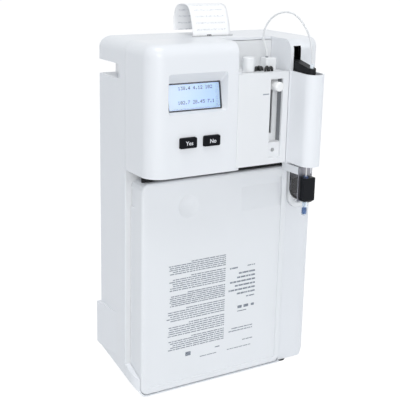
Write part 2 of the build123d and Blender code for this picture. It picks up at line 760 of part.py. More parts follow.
# Display cover, its window and its keys
HINGE_R = DOOR_T / 2
HINGE_X = DOOR_LEFT + DOOR_GAP + HINGE_R
HINGE_Y = FACE + HINGE_R
RECESS_X = (LEFT + RECESS_SIDES[0], DOOR_LEFT - RECESS_SIDES[1])
RECESS_Z = above(RECESS_UP)
GLASS_X = (RECESS_X[0] + GLASS_SIDES[0], RECESS_X[1] - GLASS_SIDES[1])
GLASS_Z = above(GLASS_UP)
DOOR_Z = above(DOOR_UP)
KEY_X = about(sum(RECESS_X) / 2 + KEYS_ASIDE, KEY_PITCH / 2)
KEY_Z = UPPER_Z + KEY_UP
EARS_Z = ((UPPER_Z, DOOR_Z[0] - SLIDE_GAP), (DOOR_Z[1] + SLIDE_GAP, DOOR_Z[1] + SLIDE_GAP + EAR_T))
KEY_BACK = FACE + WALL + FLANGE_T
KEY_BOARD_Y = KEY_BACK + KEY_TRAVEL + 2 * SLIDE_GAP
LCD_FRONT = at_y(GLASS_SETBACK) + GLASS_T


def leaning(part):
    """A part of the display turned back about the middle of its glass."""
    middle = (0, at_y(GLASS_SETBACK), sum(GLASS_Z) / 2)
    return Pos(*middle) * Rot(-GLASS_LEAN, 0, 0) * Pos(0, -middle[1], -middle[2]) * part


def key_body(x, grow, y):
    """A rounded key section carried from front to back."""
    face = rectangle(about(x, KEY_W / 2 + grow), about(KEY_Z, KEY_H / 2 + grow), KEY_ROUND + grow)
    return prism_y(face, y)


def display_cover():
    """Left upper front shell with the display recess, key holes and door ears."""
    region = block((-FAR, DOOR_LEFT), (-FAR, CHASSIS_FRONT), (UPPER_Z, FAR))
    inside = block((-FAR, DOOR_LEFT - WALL), (-FAR, FAR), (UPPER_Z + WALL, FAR))
    cover = (OUTER & region) - (INNER & inside)
    glass = at_y(GLASS_SETBACK)
    outer_r, outer_glass_r = RECESS_ROUND + WALL / 2, GLASS_ROUND + WALL / 2
    opening = loft([upright(FACE - RUNNING) * rectangle(RECESS_X, RECESS_Z, RECESS_ROUND),
                    leaning(upright(glass) * rectangle(GLASS_X, GLASS_Z, GLASS_ROUND))])
    funnel = loft([
        upright(FACE + WALL / 2) * rectangle(grown(RECESS_X, WALL), grown(RECESS_Z, WALL), outer_r),
        leaning(upright(glass) * rectangle(grown(GLASS_X, WALL), grown(GLASS_Z, WALL), outer_glass_r)),
    ])
    cover = cover + funnel - opening
    for key_x in KEY_X:
        cover = cover - key_body(key_x, KEY_GAP, (FACE - OVER, FACE + WALL + OVER))
    for ear_z in EARS_Z:
        ear = block((DOOR_LEFT - WALL / 2, HINGE_X + EAR_T), (FACE + SLIDE_GAP, FACE + EAR_D), ear_z)
        cover = cover + ear - rod_z(HINGE_X, HINGE_Y, HINGE_PIN_R, grown(ear_z, OVER))
    return cover


def key(x):
    """Key cap with a flange behind the cover that keeps it in."""
    cap = key_body(x, 0.0, (FACE - KEY_PROUD, KEY_BACK))
    cap = fillet(cap.faces().sort_by(Axis.Y)[0].edges(), KEY_FLANGE / 2)
    return cap + key_body(x, KEY_FLANGE, (FACE + WALL + RUNNING, KEY_BACK))


def keypad_board():
    """Small board with a switch dome behind each key, on two posts."""
    reach = KEY_W / 2 + KEY_FLANGE + KEY_GAP + POST_R
    posts = (KEY_X[0] - reach, KEY_X[1] + reach)
    board_y = (KEY_BOARD_Y, KEY_BOARD_Y + BOARD_T)
    board = block(grown(posts, POST_R + OVER), board_y, about(KEY_Z, KEY_H))
    for x in KEY_X:
        board = board + rod_y(x, KEY_Z, KEY_ROUND, (KEY_BOARD_Y - SLIDE_GAP, KEY_BOARD_Y))
    for x in posts:
        board = board + rod_y(x, KEY_Z, POST_R, (FACE + WALL, KEY_BOARD_Y))
    return board


def lcd_glass():
    """Clear window over the display."""
    return leaning(block(grown(GLASS_X, WALL), (at_y(GLASS_SETBACK), LCD_FRONT), grown(GLASS_Z, WALL)))


def lcd_module():
    """Framed display behind its window, on a driver board."""
    back = LCD_FRONT + LCD_T
    frame = block(GLASS_X, (LCD_FRONT, back), GLASS_Z)
    return leaning(frame + block(grown(GLASS_X, WALL), (back, back + BOARD_T), grown(GLASS_Z, 2 * WALL)))


def recess_panel():
    """Back wall of the recess above and behind the electrode module."""
    x = grown((DOOR_LEFT, COLUMN_LEFT), -FIT)
    z = (UPPER_Z, BODY_H - RECESS_TOP_GAP)
    panel = block(x, (RECESS_BACK, RECESS_BACK + PANEL_T), z)
    for side in ((x[0], x[0] + PANEL_T), (x[1] - PANEL_T, x[1])):
        panel = panel + block(side, (RECESS_BACK, CHASSIS_FRONT), z)
    return panel


def column_housing():
    """Right upper shell that holds the sampler drive."""
    region = block((COLUMN_LEFT, FAR), (-FAR, CHASSIS_FRONT), (UPPER_Z, FAR))
    inside = block((COLUMN_LEFT + WALL, FAR), (-FAR, FAR), (UPPER_Z + WALL, FAR))
    column = (OUTER & region) - (INNER & inside)
    slot_z = (UPPER_Z + SLOT_UP, BODY_H - SLOT_DROP)
    column = column - block(span_x(SLOT_X), (FACE - OVER, FACE + 2 * WALL), slot_z)
    return column - hose_slot((UPPER_Z - OVER, UPPER_Z + WALL + OVER))


# Electrode module
MODULE_X = grown((DOOR_LEFT, COLUMN_LEFT), -MODULE_SIDE_GAP)
MODULE_Z = (DOOR_Z[0] + MODULE_BOTTOM_GAP, DOOR_Z[1])
TRACK_Y = at_y(WINDOW_D) + OVER
TRACK_BACK = TRACK_Y + TRACK_T
ELECTRODE_X = (MODULE_X[0] + PANEL_T, MODULE_X[0] + PANEL_T + ELECTRODE_W)
ELECTRODE_Y = (RECESS_BACK - SPINE_T - ELECTRODE_D, RECESS_BACK - SPINE_T)
ELECTRODE_Z = grown(MODULE_Z, -SHELF_T)
DOOR_RIGHT = COLUMN_LEFT - DOOR_GAP
WINDOW_Z = above(WINDOW_UP)
KNOB_Z = UPPER_Z + KNOB_UP
WINDOW_MIDDLE = at_x(sum(WINDOW_X) / 2)
PORT_TOP = DOOR_Z[1] + PORT_H


def module_body():
    """White carrier that clamps the electrodes, with the latch's grooved track."""
    body = block(MODULE_X, (RECESS_BACK - SPINE_T, RECESS_BACK), MODULE_Z)
    body = body + block(MODULE_X, (TRACK_BACK, RECESS_BACK), (MODULE_Z[0], ELECTRODE_Z[0]))
    body = body + block(MODULE_X, (TRACK_BACK, RECESS_BACK), (ELECTRODE_Z[1], MODULE_Z[1]))
    rib = (ELECTRODE_X[1] + OVER, ELECTRODE_X[1] + OVER + PANEL_T)
    body = body + block(rib, (TRACK_BACK, RECESS_BACK), MODULE_Z)
    body = body + block((rib[0], MODULE_X[1]), (TRACK_Y, TRACK_BACK), MODULE_Z)
    groove_z = (KNOB_Z - KNOB_TRAVEL - GROOVE_W / 2 - SLIDE_GAP, KNOB_Z + GROOVE_W / 2 + SLIDE_GAP)
    return body - block(about(WINDOW_MIDDLE, GROOVE_W / 2), (TRACK_Y - OVER, TRACK_BACK + OVER), groove_z)


def electrodes():
    """Electrode cartridges on one flow path, each with its contact button."""
    height = (ELECTRODE_Z[1] - ELECTRODE_Z[0]) / ELECTRODE_COUNT
    middle = sum(ELECTRODE_X) / 2
    cartridges = []
    for i in range(ELECTRODE_COUNT):
        z = (ELECTRODE_Z[0] + i * height, ELECTRODE_Z[0] + (i + 1) * height)
        body = block(ELECTRODE_X, ELECTRODE_Y, grown(z, -ELECTRODE_GAP))
        body = body + rod_y(middle, sum(z) / 2, CONTACT_R, (ELECTRODE_Y[0] - CONTACT_T, ELECTRODE_Y[0]))
        cartridges.append(body - rod_z(middle, sum(ELECTRODE_Y) / 2, FLOW_R, grown(z, OVER)))
    return cartridges


def module_cap():
    """Round cap of the reference electrode on top of the carrier."""
    cap = rod_z(at_x(CAP_X), at_y(CAP_Y), CAP_R, (DOOR_Z[1], DOOR_Z[1] + CAP_H))
    return fillet(cap.faces().sort_by(Axis.Z)[-1].edges(), CAP_R / 5)


def tube_fitting():
    """White block with the grey pin that the sample tube is pushed on."""
    side, depth = about(at_x(PORT_X), PORT_W / 2), about(at_y(PORT_Y), PORT_D / 2)
    body = block(side, depth, (DOOR_Z[1], PORT_TOP), PIN_R)
    body = fillet(body.faces().sort_by(Axis.Z)[-1].edges(), PIN_R / 2)
    return body + rod_z(at_x(PORT_X) - PIN_OFFSET, at_y(PORT_Y), PIN_R, (PORT_TOP - OVER, PORT_TOP + PIN_H))


def electrode_leads():
    """Short leads that arch over the top of the carrier."""
    leads = []
    for i in range(LEAD_COUNT):
        place = Pos(at_x(LEAD_X + i * LEAD_PITCH), at_y(LEAD_Y + (i % 2) * LEAD_STAGGER), DOOR_Z[1])
        arch = revolve(Plane.XY * Pos(LEAD_BEND, 0) * Circle(LEAD_R), Axis.Y, 180)
        leads.append(place * Rot(0, 0, 90) * Rot(180, 0, 0) * arch)
    return leads


def module_door():
    """White door on pins at its left edge, with the latch window and a drilled plate."""
    door = prism_z(outline([(HINGE_X, FACE, 0), (DOOR_RIGHT, FACE, HINGE_R), (DOOR_RIGHT, FACE + DOOR_T, 0),
                            (HINGE_X, FACE + DOOR_T, 0)]), DOOR_Z)
    door = door + rod_z(HINGE_X, HINGE_Y, HINGE_R, DOOR_Z)
    rim_x = (HINGE_X + EAR_D, DOOR_RIGHT - OVER)
    rim_y = (HINGE_Y, FACE + DOOR_RIM_D)
    door = door + block(rim_x, rim_y, (DOOR_Z[1] - DOOR_RIM_T, DOOR_Z[1]))
    door = door + block(rim_x, rim_y, (DOOR_Z[0], DOOR_Z[0] + DOOR_RIM_T))
    door = door + block((rim_x[1] - DOOR_RIM_T, rim_x[1]), rim_y, DOOR_Z)
    window = span_x(WINDOW_X)
    door = door + block(grown(window, WINDOW_WALL), (HINGE_Y, at_y(WINDOW_D)), grown(WINDOW_Z, WINDOW_WALL))
    door = door - block(window, (FACE - OVER, at_y(WINDOW_D) + OVER), WINDOW_Z)
    plate_z = (WINDOW_Z[0] - OVER, WINDOW_Z[0] + PLATE_H)
    door = door + block((window[0] + OVER, window[1] + OVER), (at_y(PLATE_SETBACK), at_y(WINDOW_D)), plate_z)
    plate_middle = WINDOW_Z[0] + PLATE_H / 2
    door = door - rod_y(WINDOW_MIDDLE, plate_middle, PLATE_BORE, (FACE, at_y(WINDOW_D) + OVER))
    return door - rod_z(HINGE_X, HINGE_Y, HINGE_PIN_R + RUNNING, grown(DOOR_Z, OVER))


def door_hinge_pins():
    """Two steel pins, one at each end of the door's left edge."""
    low, top = EARS_Z[0][0], EARS_Z[1][1]
    reaches = ((low, low + HINGE_PIN_L), (top - HINGE_PIN_L, top))
    return [rod_z(HINGE_X, HINGE_Y, HINGE_PIN_R, z) for z in reaches]


def latch_knob():
    """Round knob on a square stem, with a shoe behind the track."""
    knob = rod_y(WINDOW_MIDDLE, KNOB_Z, KNOB_R, (FACE - KNOB_PROUD, TRACK_Y - SLIDE_GAP))
    knob = fillet(knob.faces().sort_by(Axis.Y)[0].edges(), KNOB_R / 3)
    half = GROOVE_W / 2 - SLIDE_GAP
    shoe_y = (TRACK_BACK + SLIDE_GAP, TRACK_BACK + SLIDE_GAP + SHOE_T)
    stem = block(about(WINDOW_MIDDLE, half), (TRACK_Y - OVER, shoe_y[1]), about(KNOB_Z, half))
    return knob + stem + block(about(WINDOW_MIDDLE, SHOE_W / 2), shoe_y, about(KNOB_Z, SHOE_W / 2))


# Sampler
PROBE_X = at_x(sum(SLOT_X) / 2)
PROBE_Y = FACE - PROBE_OUT
DRIVE_Y = at_y(DRIVE_SETBACK)
FRAME_LEFT = COLUMN_LEFT + WALL + SEAM_GAP
SCREW_X = FRAME_LEFT + MOTOR_SIDE / 2
GUIDE_X = SCREW_X + GUIDE_APART
FRAME_X = (FRAME_LEFT, GUIDE_X + FRAME_SIDE)
FRAME_Y = (DRIVE_Y - FRAME_FRONT, DRIVE_Y + FRAME_BACK)
FRAME_Z = (UPPER_Z + WALL, BODY_H - WALL - FRAME_TOP_GAP)
MOTOR_Z = (FRAME_Z[0] + FRAME_T, FRAME_Z[0] + FRAME_T + MOTOR_H)
ARM_TOP = BODY_H - ARM_DROP
ARM_TIP_TOP = BODY_H - ARM_TIP_DROP
ARM_UNDER = BODY_H - ARM_UNDER_DROP
SEAT_Z = ARM_TIP_TOP - OVER
GUARD_Z = above(GUARD_UP)


def sampler_cover():
    """U-shaped guard round the moving arm, open above and below."""
    x = span_x(GUARD_X)
    front = FACE - SAMPLER_REACH

    def channel(inset, z):
        radius = GUARD_ROUND - inset
        rear = FACE + TOP_ROUND + inset
        return prism_z(outline([(x[0] + inset, front + inset, radius), (x[1] - inset, front + inset, radius),
                                (x[1] - inset, rear, 0), (x[0] + inset, rear, 0)]), z)

    guard = channel(0.0, GUARD_Z) - channel(GUARD_WALL, grown(GUARD_Z, OVER))
    above = outline([(front - OVER, GUARD_Z[1] - GUARD_DROP, 0), (FACE, GUARD_Z[1], 0), (FACE, FAR, 0),
                     (front - OVER, FAR, 0)])
    return guard - prism_x(above, (-FAR, FAR)) - OUTER


def sampler_arm():
    """Black arm through the slot, with the carriage that rides the guides."""
    half = ARM_W / 2
    tip = PROBE_Y - half
    drop = (ARM_TOP - ARM_TIP_TOP) / PROBE_OUT * half
    side = outline([(tip, ARM_UNDER, ARM_ROUND), (DRIVE_Y, ARM_UNDER, 0), (DRIVE_Y, ARM_TOP, 0),
                    (FACE, ARM_TOP, 0), (tip, ARM_TIP_TOP - drop, ARM_ROUND)])
    plan = outline([(PROBE_X - half, tip, half - RUNNING), (PROBE_X + half, tip, half - RUNNING),
                    (PROBE_X + half, FAR, 0), (PROBE_X - half, FAR, 0)])
    arm = prism_x(side, about(PROBE_X, half)) & prism_z(plan, (0, FAR))
    carriage_x = (PROBE_X - half, GUIDE_X + CARRIAGE_SIDE)
    arm = arm + block(carriage_x, about(DRIVE_Y, CARRIAGE_D / 2), (ARM_UNDER, ARM_UNDER + CARRIAGE_H))
    arm = arm - rod_z(SCREW_X, DRIVE_Y, SCREW_R + RUNNING, (0, FAR))
    arm = arm - rod_z(GUIDE_X, DRIVE_Y, GUIDE_R + RUNNING, (0, FAR))
    arm = arm - rod_z(PROBE_X, PROBE_Y, SOCKET_R + RUNNING, (SEAT_Z, FAR))
    return arm - rod_z(PROBE_X, PROBE_Y, PROBE_R, (0, FAR))


def sample_probe():
    """Fine steel tube with a clear socket for the sample tube on top."""
    tube = rod_z(PROBE_X, PROBE_Y, PROBE_R, (UPPER_Z - PROBE_DOWN, SEAT_Z + OVER))
    return tube + rod_z(PROBE_X, PROBE_Y, SOCKET_R, (SEAT_Z, SEAT_Z + SOCKET_H))


def guide_rod():
    """Ground rod that the carriage slides on."""
    return rod_z(GUIDE_X, DRIVE_Y, GUIDE_R, (MOTOR_Z[1] + FRAME_T, FRAME_Z[1]))


def lead_screw():
    """Drive screw, turned by the motor below it."""
    screw_z = (MOTOR_Z[1] + FRAME_T + SLIDE_GAP, FRAME_Z[1] - FRAME_T - SLIDE_GAP)
    screw = rod_z(SCREW_X, DRIVE_Y, SCREW_R, screw_z)
    return screw + rod_z(SCREW_X, DRIVE_Y, JOURNAL_R, (MOTOR_Z[1] - SHAFT_L, FRAME_Z[1]))


def sampler_frame():
    """Folded steel frame that carries rod, screw and motor."""
    frame = block(FRAME_X, (FRAME_Y[1] - FRAME_T, FRAME_Y[1]), FRAME_Z)
    for low in (FRAME_Z[0], MOTOR_Z[1], FRAME_Z[1] - FRAME_T):
        frame = frame + block(FRAME_X, FRAME_Y, (low, low + FRAME_T))
    frame = frame - rod_z(SCREW_X, DRIVE_Y, JOURNAL_R + RUNNING, (MOTOR_Z[1] - OVER, FAR))
    return frame - rod_z(GUIDE_X, DRIVE_Y, GUIDE_R, (MOTOR_Z[1] + FRAME_T + OVER, FAR))


def sampler_motor():
    """Square stepper motor under the screw."""
    body = block(about(SCREW_X, MOTOR_SIDE / 2), about(DRIVE_Y, MOTOR_SIDE / 2), MOTOR_Z)
    return body - rod_z(SCREW_X, DRIVE_Y, JOURNAL_R + RUNNING, (MOTOR_Z[1] - SHAFT_L - FIT, FAR))


# Wiper
WIPER_Y = about(PROBE_Y, WIPER_D / 2)
LEAF_Y = (WIPER_Y[1], WIPER_Y[1] + STEEL_T)
WIPER_Z = below(UPPER_Z, WIPER_DOWN)
SLEEVE_BOTTOM = UPPER_Z - SLEEVE_DOWN
COLLAR_Z = (WIPER_Z[1], WIPER_Z[1] + COLLAR_H)


def probe_guide():
    """White block under the sampler cover that carries the wiper."""
    x = grown(span_x(GUARD_X), -GUARD_WALL - FIT)
    body = block(x, (LEAF_Y[1], FACE + GUARD_ROUND), (UPPER_Z - GUIDE_BLOCK_H, UPPER_Z))
    return fillet(body.edges().filter_by(Axis.Z).group_by(Axis.Y)[0], STEEL_T)


def wiper_bracket():
    """Steel leaf from the guide block down the back of the wiper block."""
    return block(span_x(LEAF_X), LEAF_Y, (UPPER_Z - LEAF_DOWN, UPPER_Z))


def wiper_block():
    """Black block that wipes and rinses the probe as it passes."""
    body = block(span_x(WIPER_X), WIPER_Y, WIPER_Z)
    body = chamfer(body.faces().sort_by(Axis.Z)[0].edges(), WIPER_CHAMFER)
    return body - rod_z(PROBE_X, PROBE_Y, SLEEVE_R, (0, FAR))


def wiper_sleeve():
    """Clear tube through the block, where the probe parks, with a nipple at its side."""
    tube = rod_z(PROBE_X, PROBE_Y, SLEEVE_R, (SLEEVE_BOTTOM, COLLAR_Z[0]))
    tube = fillet(tube.faces().sort_by(Axis.Z)[0].edges(), PROBE_R)
    tube = tube + rod_z(PROBE_X, PROBE_Y, COLLAR_R, COLLAR_Z)
    port = (PROBE_X + SLEEVE_PORT[0], PROBE_Y + SLEEVE_PORT[1], SLEEVE_BOTTOM + SLEEVE_PORT[2])
    tube = tube + stub(port, SLEEVE_AIM)
    return tube - rod_z(PROBE_X, PROBE_Y, SEAL_R, (0, FAR))


def wiper_seal():
    """Blue rubber lips inside the sleeve, round the probe."""
    low = SLEEVE_BOTTOM + 2 * PROBE_R
    top = COLLAR_Z[1]
    lips = []
    for z in ((low, low + SEAL_L), (top - SEAL_L, top)):
        bore = rod_z(PROBE_X, PROBE_Y, PROBE_R + RUNNING, (0, FAR))
        lips.append(rod_z(PROBE_X, PROBE_Y, SEAL_R, z) - bore)
    return lips


# Solution pack
GRIP_X = (PACK_X[1] - GRIP_SIDE - GRIP_W, PACK_X[1] - GRIP_SIDE)
GRIP_Z = below(UPPER_Z, GRIP_DOWN)
DIMPLE_X = PACK_X[0] + DIMPLE_SIDE
DIMPLE_Z = UPPER_Z - DIMPLE_DOWN


def pack_front():
    """Moulded front of the pack: rim, sunk panel, dimple and finger grip."""
    shell = pack_outline(0.0, (PACK_FACE, PACK_REAR))
    shell = fillet(shell.faces().sort_by(Axis.Y)[0].edges(), PACK_EDGE)
    shell = shell - pack_outline(-PACK_WALL, (PANEL_Y + PACK_WALL, FAR))
    floor = PACK_FACE + GRIP_DEPTH
    shell = shell + block(grown(GRIP_X, PACK_WALL), (PANEL_Y, floor + PACK_WALL), grown(GRIP_Z, PACK_WALL))
    shell = shell + rod_y(DIMPLE_X, DIMPLE_Z, DIMPLE_R, (PANEL_Y, PANEL_Y + DIMPLE_DEPTH + PACK_WALL))
    shell = shell - pack_outline(-PACK_BORDER, (PACK_FACE - OVER, PANEL_Y))
    ball = (DIMPLE_R ** 2 + DIMPLE_DEPTH ** 2) / (2 * DIMPLE_DEPTH)
    shell = shell - Pos(DIMPLE_X, PANEL_Y + DIMPLE_DEPTH - ball, DIMPLE_Z) * Sphere(ball)
    grip = outline([(PANEL_Y - OVER, GRIP_Z[0], 0), (PANEL_Y, GRIP_Z[0], 0),
                    (floor, GRIP_Z[1] - GRIP_LEDGE, 0),
                    (floor, GRIP_Z[1], 0), (PANEL_Y - OVER, GRIP_Z[1], 0)])
    shell = shell - prism_x(grip, GRIP_X)
    for x in PACK_X:
        gap_z = (UPPER_Z - FINGER_GAP_DOWN, PACK_Z[1] - PACK_ROUND)
        gap = block(about(x, PACK_WALL / 2), (PACK_REAR - FINGER_GAP_D, FAR), gap_z)
        shell = shell - gap
    return shell - facet_cutter(-1, TRAY_T + FIT)


def pack_box():
    """Carton behind the front, hollow for the pouches."""
    box = block(BOX_X, BOX_Y, BOX_Z)
    hollow = block(grown(BOX_X, -BOX_WALL), grown(BOX_Y, -BOX_WALL), grown(BOX_Z, -BOX_WALL))
    for side in (-1, 1):
        box = box - facet_cutter(side, WALL + CHASSIS_T + BAY_CLEAR)
        hollow = hollow - facet_cutter(side, WALL + CHASSIS_T + BAY_CLEAR + BOX_WALL)
    box = box - hollow
    for x in NIPPLE_XS:
        box = box - rod_y(x, NIPPLE_Z, NIPPLE_R, (BOX_Y[1] - BOX_WALL - OVER, BOX_Y[1] + OVER))
    return box


def fluid_pouches():
    """Flexible bags of the calibrants and the waste, side by side."""
    x = grown(BOX_X, -BOX_WALL - POUCH_GAP)
    width = (x[1] - x[0]) / POUCH_COUNT
    y = grown(BOX_Y, -BOX_WALL - POUCH_GAP)
    pouches = []
    for i in range(POUCH_COUNT):
        one = grown((x[0] + i * width, x[0] + (i + 1) * width), -POUCH_GAP / 2)
        pouches.append(block(one, y, (FACET_RISE_BACK, UPPER_Z - POUCH_DOWN), POUCH_ROUND))
    return pouches


def pack_connector():
    """Bar with the row of nipples through the back of the pack."""
    rear = BOX_Y[1] - BOX_WALL
    bar_x = (NIPPLE_XS[0] - BAR_SIDE, NIPPLE_XS[-1] + BAR_SIDE)
    bar = block(bar_x, (rear - BAR_T, rear), about(NIPPLE_Z, BAR_H / 2))
    for x in NIPPLE_XS:
        bar = bar + rod_y(x, NIPPLE_Z, NIPPLE_R, (rear - OVER, BOX_Y[1] + NIPPLE_L))
    return bar


def valve_block():
    """Block behind the bay whose sockets take the pack's nipples."""
    y = (BAY_BACK + CHASSIS_T, BAY_BACK + CHASSIS_T + VALVE_T)
    body = block((NIPPLE_XS[0] - BAR_SIDE, NIPPLE_XS[-1] + BAR_SIDE), y, about(NIPPLE_Z, VALVE_H / 2))
    for x in NIPPLE_XS:
        body = body - rod_y(x, NIPPLE_Z, NIPPLE_R + NIPPLE_GAP, (y[0] - OVER, y[0] + NIPPLE_L))
    return body


# Printer and paper
PAPER_Y = sum(PAPER_SLOT_Y) / 2
PLATEN_Y = PAPER_Y + PAPER_T / 2 + PLATEN_GAP + PLATEN_R
ROLL_AXIS_Y = SEAM + ROLL_BEHIND
ROLL_Z = BODY_H - ROLL_DROP
CHEEKS = ((PRINT_X[0] - CHEEK_T, PRINT_X[0]), (PRINT_X[1], PRINT_X[1] + CHEEK_T))
PRINT_OUTER = (CHEEKS[0][0], CHEEKS[1][1])
TIE_Z = (PLATEN_Z - TIE_H, BODY_H - BAR_DROP)


def printer_frame():
    """Frame whose cheeks carry platen and paper roll, fixed behind the chassis."""
    front = CHASSIS_BACK + TIE_T
    bearing = 2 * SPINDLE_R
    roll_y, roll_z = about(ROLL_AXIS_Y, bearing), about(ROLL_Z, bearing)
    side = outline([(front, TIE_Z[0], 0), (roll_y[0], roll_z[0], 0), (roll_y[1], roll_z[0], 0),
                    (roll_y[1], roll_z[1], 0), (PLATEN_Y + PLATEN_R, TIE_Z[1], 0), (front, TIE_Z[1], 0)])
    frame = block(grown(PRINT_OUTER, TIE_FLANGE), (CHASSIS_BACK, front), TIE_Z)
    for cheek in CHEEKS:
        frame = frame + prism_x(side, cheek)
    frame = frame - block(PRINT_X, (CHASSIS_BACK - OVER, front + OVER), (TIE_Z[0] - OVER, TIE_Z[1] + OVER))
    frame = frame + block(PRINT_X, (CHASSIS_BACK, front), (TIE_Z[0], TIE_Z[0] + BAR_DROP))
    frame = frame - rod_x(PLATEN_Y, PLATEN_Z, JOURNAL_R + RUNNING, grown(PRINT_OUTER, OVER))
    return frame - rod_x(ROLL_AXIS_Y, ROLL_Z, SPINDLE_R, grown(PRINT_OUTER, OVER))


def platen_roller():
    """Rubber roller that feeds the paper."""
    roller = rod_x(PLATEN_Y, PLATEN_Z, PLATEN_R, grown(PRINT_X, -OVER))
    return roller + rod_x(PLATEN_Y, PLATEN_Z, JOURNAL_R, PRINT_OUTER)


def roll_spindle():
    """Fixed spindle of the paper roll."""
    return rod_x(ROLL_AXIS_Y, ROLL_Z, SPINDLE_R, PRINT_OUTER)


def paper_roll():
    """Roll of thermal paper, loose on its spindle."""
    roll = rod_x(ROLL_AXIS_Y, ROLL_Z, ROLL_R, PAPER_X)
    return roll - rod_x(ROLL_AXIS_Y, ROLL_Z, SPINDLE_R + SPINDLE_GAP, (-FAR, FAR))


def tear_bar():
    """Serrated steel strip on the front edge of the paper slot."""
    x = grown(PAPER_X, SLOT_SIDE)
    y = (PAPER_SLOT_Y[0], PAPER_SLOT_Y[0] + BAR_BLADE)
    top = BODY_H + BAR_BLADE / 2
    bar = block(x, y, (BODY_H - BAR_DROP, top))
    for i in range(int((x[1] - x[0]) / TOOTH)):
        left = x[0] + i * TOOTH
        tooth = outline([(left, top, 0), (left + TOOTH, top, 0), (left + TOOTH / 2, top + TOOTH / 2, 0)])
        bar = bar + prism_y(tooth, y)
    return bar


def arc_radii(points):
    """Radius of each corner: 0.45 of its shorter run over the tangent of half the turn."""
    vectors = [Vector(*p) for p in points]
    radii = []
    for a, b, c in zip(vectors, vectors[1:], vectors[2:]):
        turn = (b - a).get_angle(c - b)
        radii.append(0.45 * min((b - a).length, (c - b).length) / tan(radians(turn / 2)))
    return radii


def receipt_paper():
    """Printed strip that rises from the roll through the slot and curls over to the back."""
    knots = [(ROLL_AXIS_Y - ROLL_R - SLIDE_GAP, ROLL_Z), (PAPER_Y, PLATEN_Z - 2 * PLATEN_R)]
    knots += [(PAPER_Y + back, BODY_H + rise) for back, rise in PAPER_CURL]
    points = [(-PAPER_ASIDE, y, z) for y, z in knots]
    path = FilletPolyline(*points, radius=arc_radii(points))
    start = Vector(*points[1]) - Vector(*points[0])
    plane = Plane(origin=points[0], x_dir=(1, 0, 0), z_dir=start)
    section = plane * Rectangle(PAPER_W, PAPER_T)
    return sweep(section, path=path)


def paper_hatch():
    """Hatch in the back wall, through which the paper roll is changed."""
    x = grown(HATCH_X, -FIT)
    hatch = block(x, (BACK - WALL, BACK), (HATCH_AXIS_Z, HATCH_Z[1] - FIT))
    hatch = hatch + rod_x(HATCH_AXIS_Y, HATCH_AXIS_Z, HATCH_R, x)
    trunnions = grown(HATCH_X, HATCH_PIN_L - RUNNING)
    hatch = hatch + rod_x(HATCH_AXIS_Y, HATCH_AXIS_Z, HATCH_PIN_R, trunnions)
    pull_z = (HATCH_Z[1] - 2 * PULL_H, HATCH_Z[1] - PULL_H)
    return hatch - block(about(sum(x) / 2, PULL_W / 2), (BACK - PULL_DEPTH, BACK + OVER), pull_z)


def power_inlet():
    """Appliance inlet with its blades, joined to the switch's frame."""
    inlet_x = about(INLET_X, INLET_W / 2 - FIT / 2)
    inlet_z = about(INLET_Z, INLET_H / 2 - FIT / 2)
    socket_y = (BACK - INLET_D + SOCKET_WALL, BACK + OVER)
    body = block(inlet_x, (BACK - INLET_D, BACK), inlet_z)
    body = body - block(grown(inlet_x, -SOCKET_WALL), socket_y, grown(inlet_z, -SOCKET_WALL))
    for dx, dz in BLADES:
        blade_y = (BACK - INLET_D + OVER, BACK - BLADE_SUNK)
        body = body + block(about(INLET_X + dx, BLADE_T / 2), blade_y, about(INLET_Z + dz, BLADE_H / 2))
    frame_x = about(INLET_X, SWITCH_W / 2 - FIT / 2)
    frame_z = about(SWITCH_Z, SWITCH_H / 2 - FIT / 2)
    body = body + block(frame_x, (BACK - SWITCH_D, BACK), frame_z)
    bridge_z = (inlet_z[1] - OVER, frame_z[0] + OVER)
    body = body + block(frame_x, (BACK - SWITCH_D, BACK - WALL - FIT), bridge_z)
    well_z = grown(frame_z, -SOCKET_WALL)
    body = body - block(grown(frame_x, -SOCKET_WALL), (BACK - SWITCH_D + SOCKET_WALL, BACK + OVER), well_z)
    return body - rod_z(INLET_X, BACK - ROCKER_SINK, ROCKER_PIN_R + RUNNING, grown(well_z, ROCKER_PIN_L))


def switch_rocker():
    """Rocking actuator of the mains switch, at rest on one side."""
    half = SWITCH_W / 2 - FIT / 2 - SOCKET_WALL - ROCKER_GAP
    well_z = about(SWITCH_Z, SWITCH_H / 2 - FIT / 2 - SOCKET_WALL)
    dip = half * tan(radians(ROCKER_TILT))
    profile = outline([(-half, -ROCKER_DOWN, 0), (half, -ROCKER_DOWN, 0), (half, ROCKER_UP, 0),
                       (0, ROCKER_UP - dip, 0), (-half, ROCKER_UP, 0)])
    rocker = prism_z(profile, grown(well_z, -FIT))
    rocker = rocker + rod_z(0, 0, ROCKER_PIN_R, grown(well_z, ROCKER_PIN_L - RUNNING))
    return Pos(INLET_X, BACK - ROCKER_SINK, 0) * Rot(0, 0, -ROCKER_TILT) * rocker


def power_supply():
    """Mains power supply behind the chassis, low on the right."""
    x = (BAY_X[1] + CHASSIS_T + SEAM_GAP, RIGHT - 2 * WALL)
    return block(x, (CHASSIS_BACK, CHASSIS_BACK + SUPPLY_D), SUPPLY_Z)


def main_board():
    """Controller board upright on posts inside the back wall."""
    return block(MAIN_BOARD_X, (BOARD_Y - BOARD_T, BOARD_Y), MAIN_BOARD_Z)


def free_tube(points):
    """A tube along straight runs joined by the largest arcs that they allow."""
    radii = arc_radii(points)
    path = FilletPolyline(*points, radius=radii)
    start = Vector(*points[1]) - Vector(*points[0])
    tube = sweep(Plane(origin=points[0], z_dir=start) * Circle(TUBE_R), path=path)
    expected = pi * TUBE_R ** 2 * path.length
    print("tube length", round(path.length, 1), "volume ratio", round(tube.volume / expected, 4))
    print("tube radii", [round(radius, 1) for radius in radii])
    return tube


def save(name, shape):
    solid = Compound(shape) if isinstance(shape, list) else shape
    export_step(solid, f"parts/{name}.step")


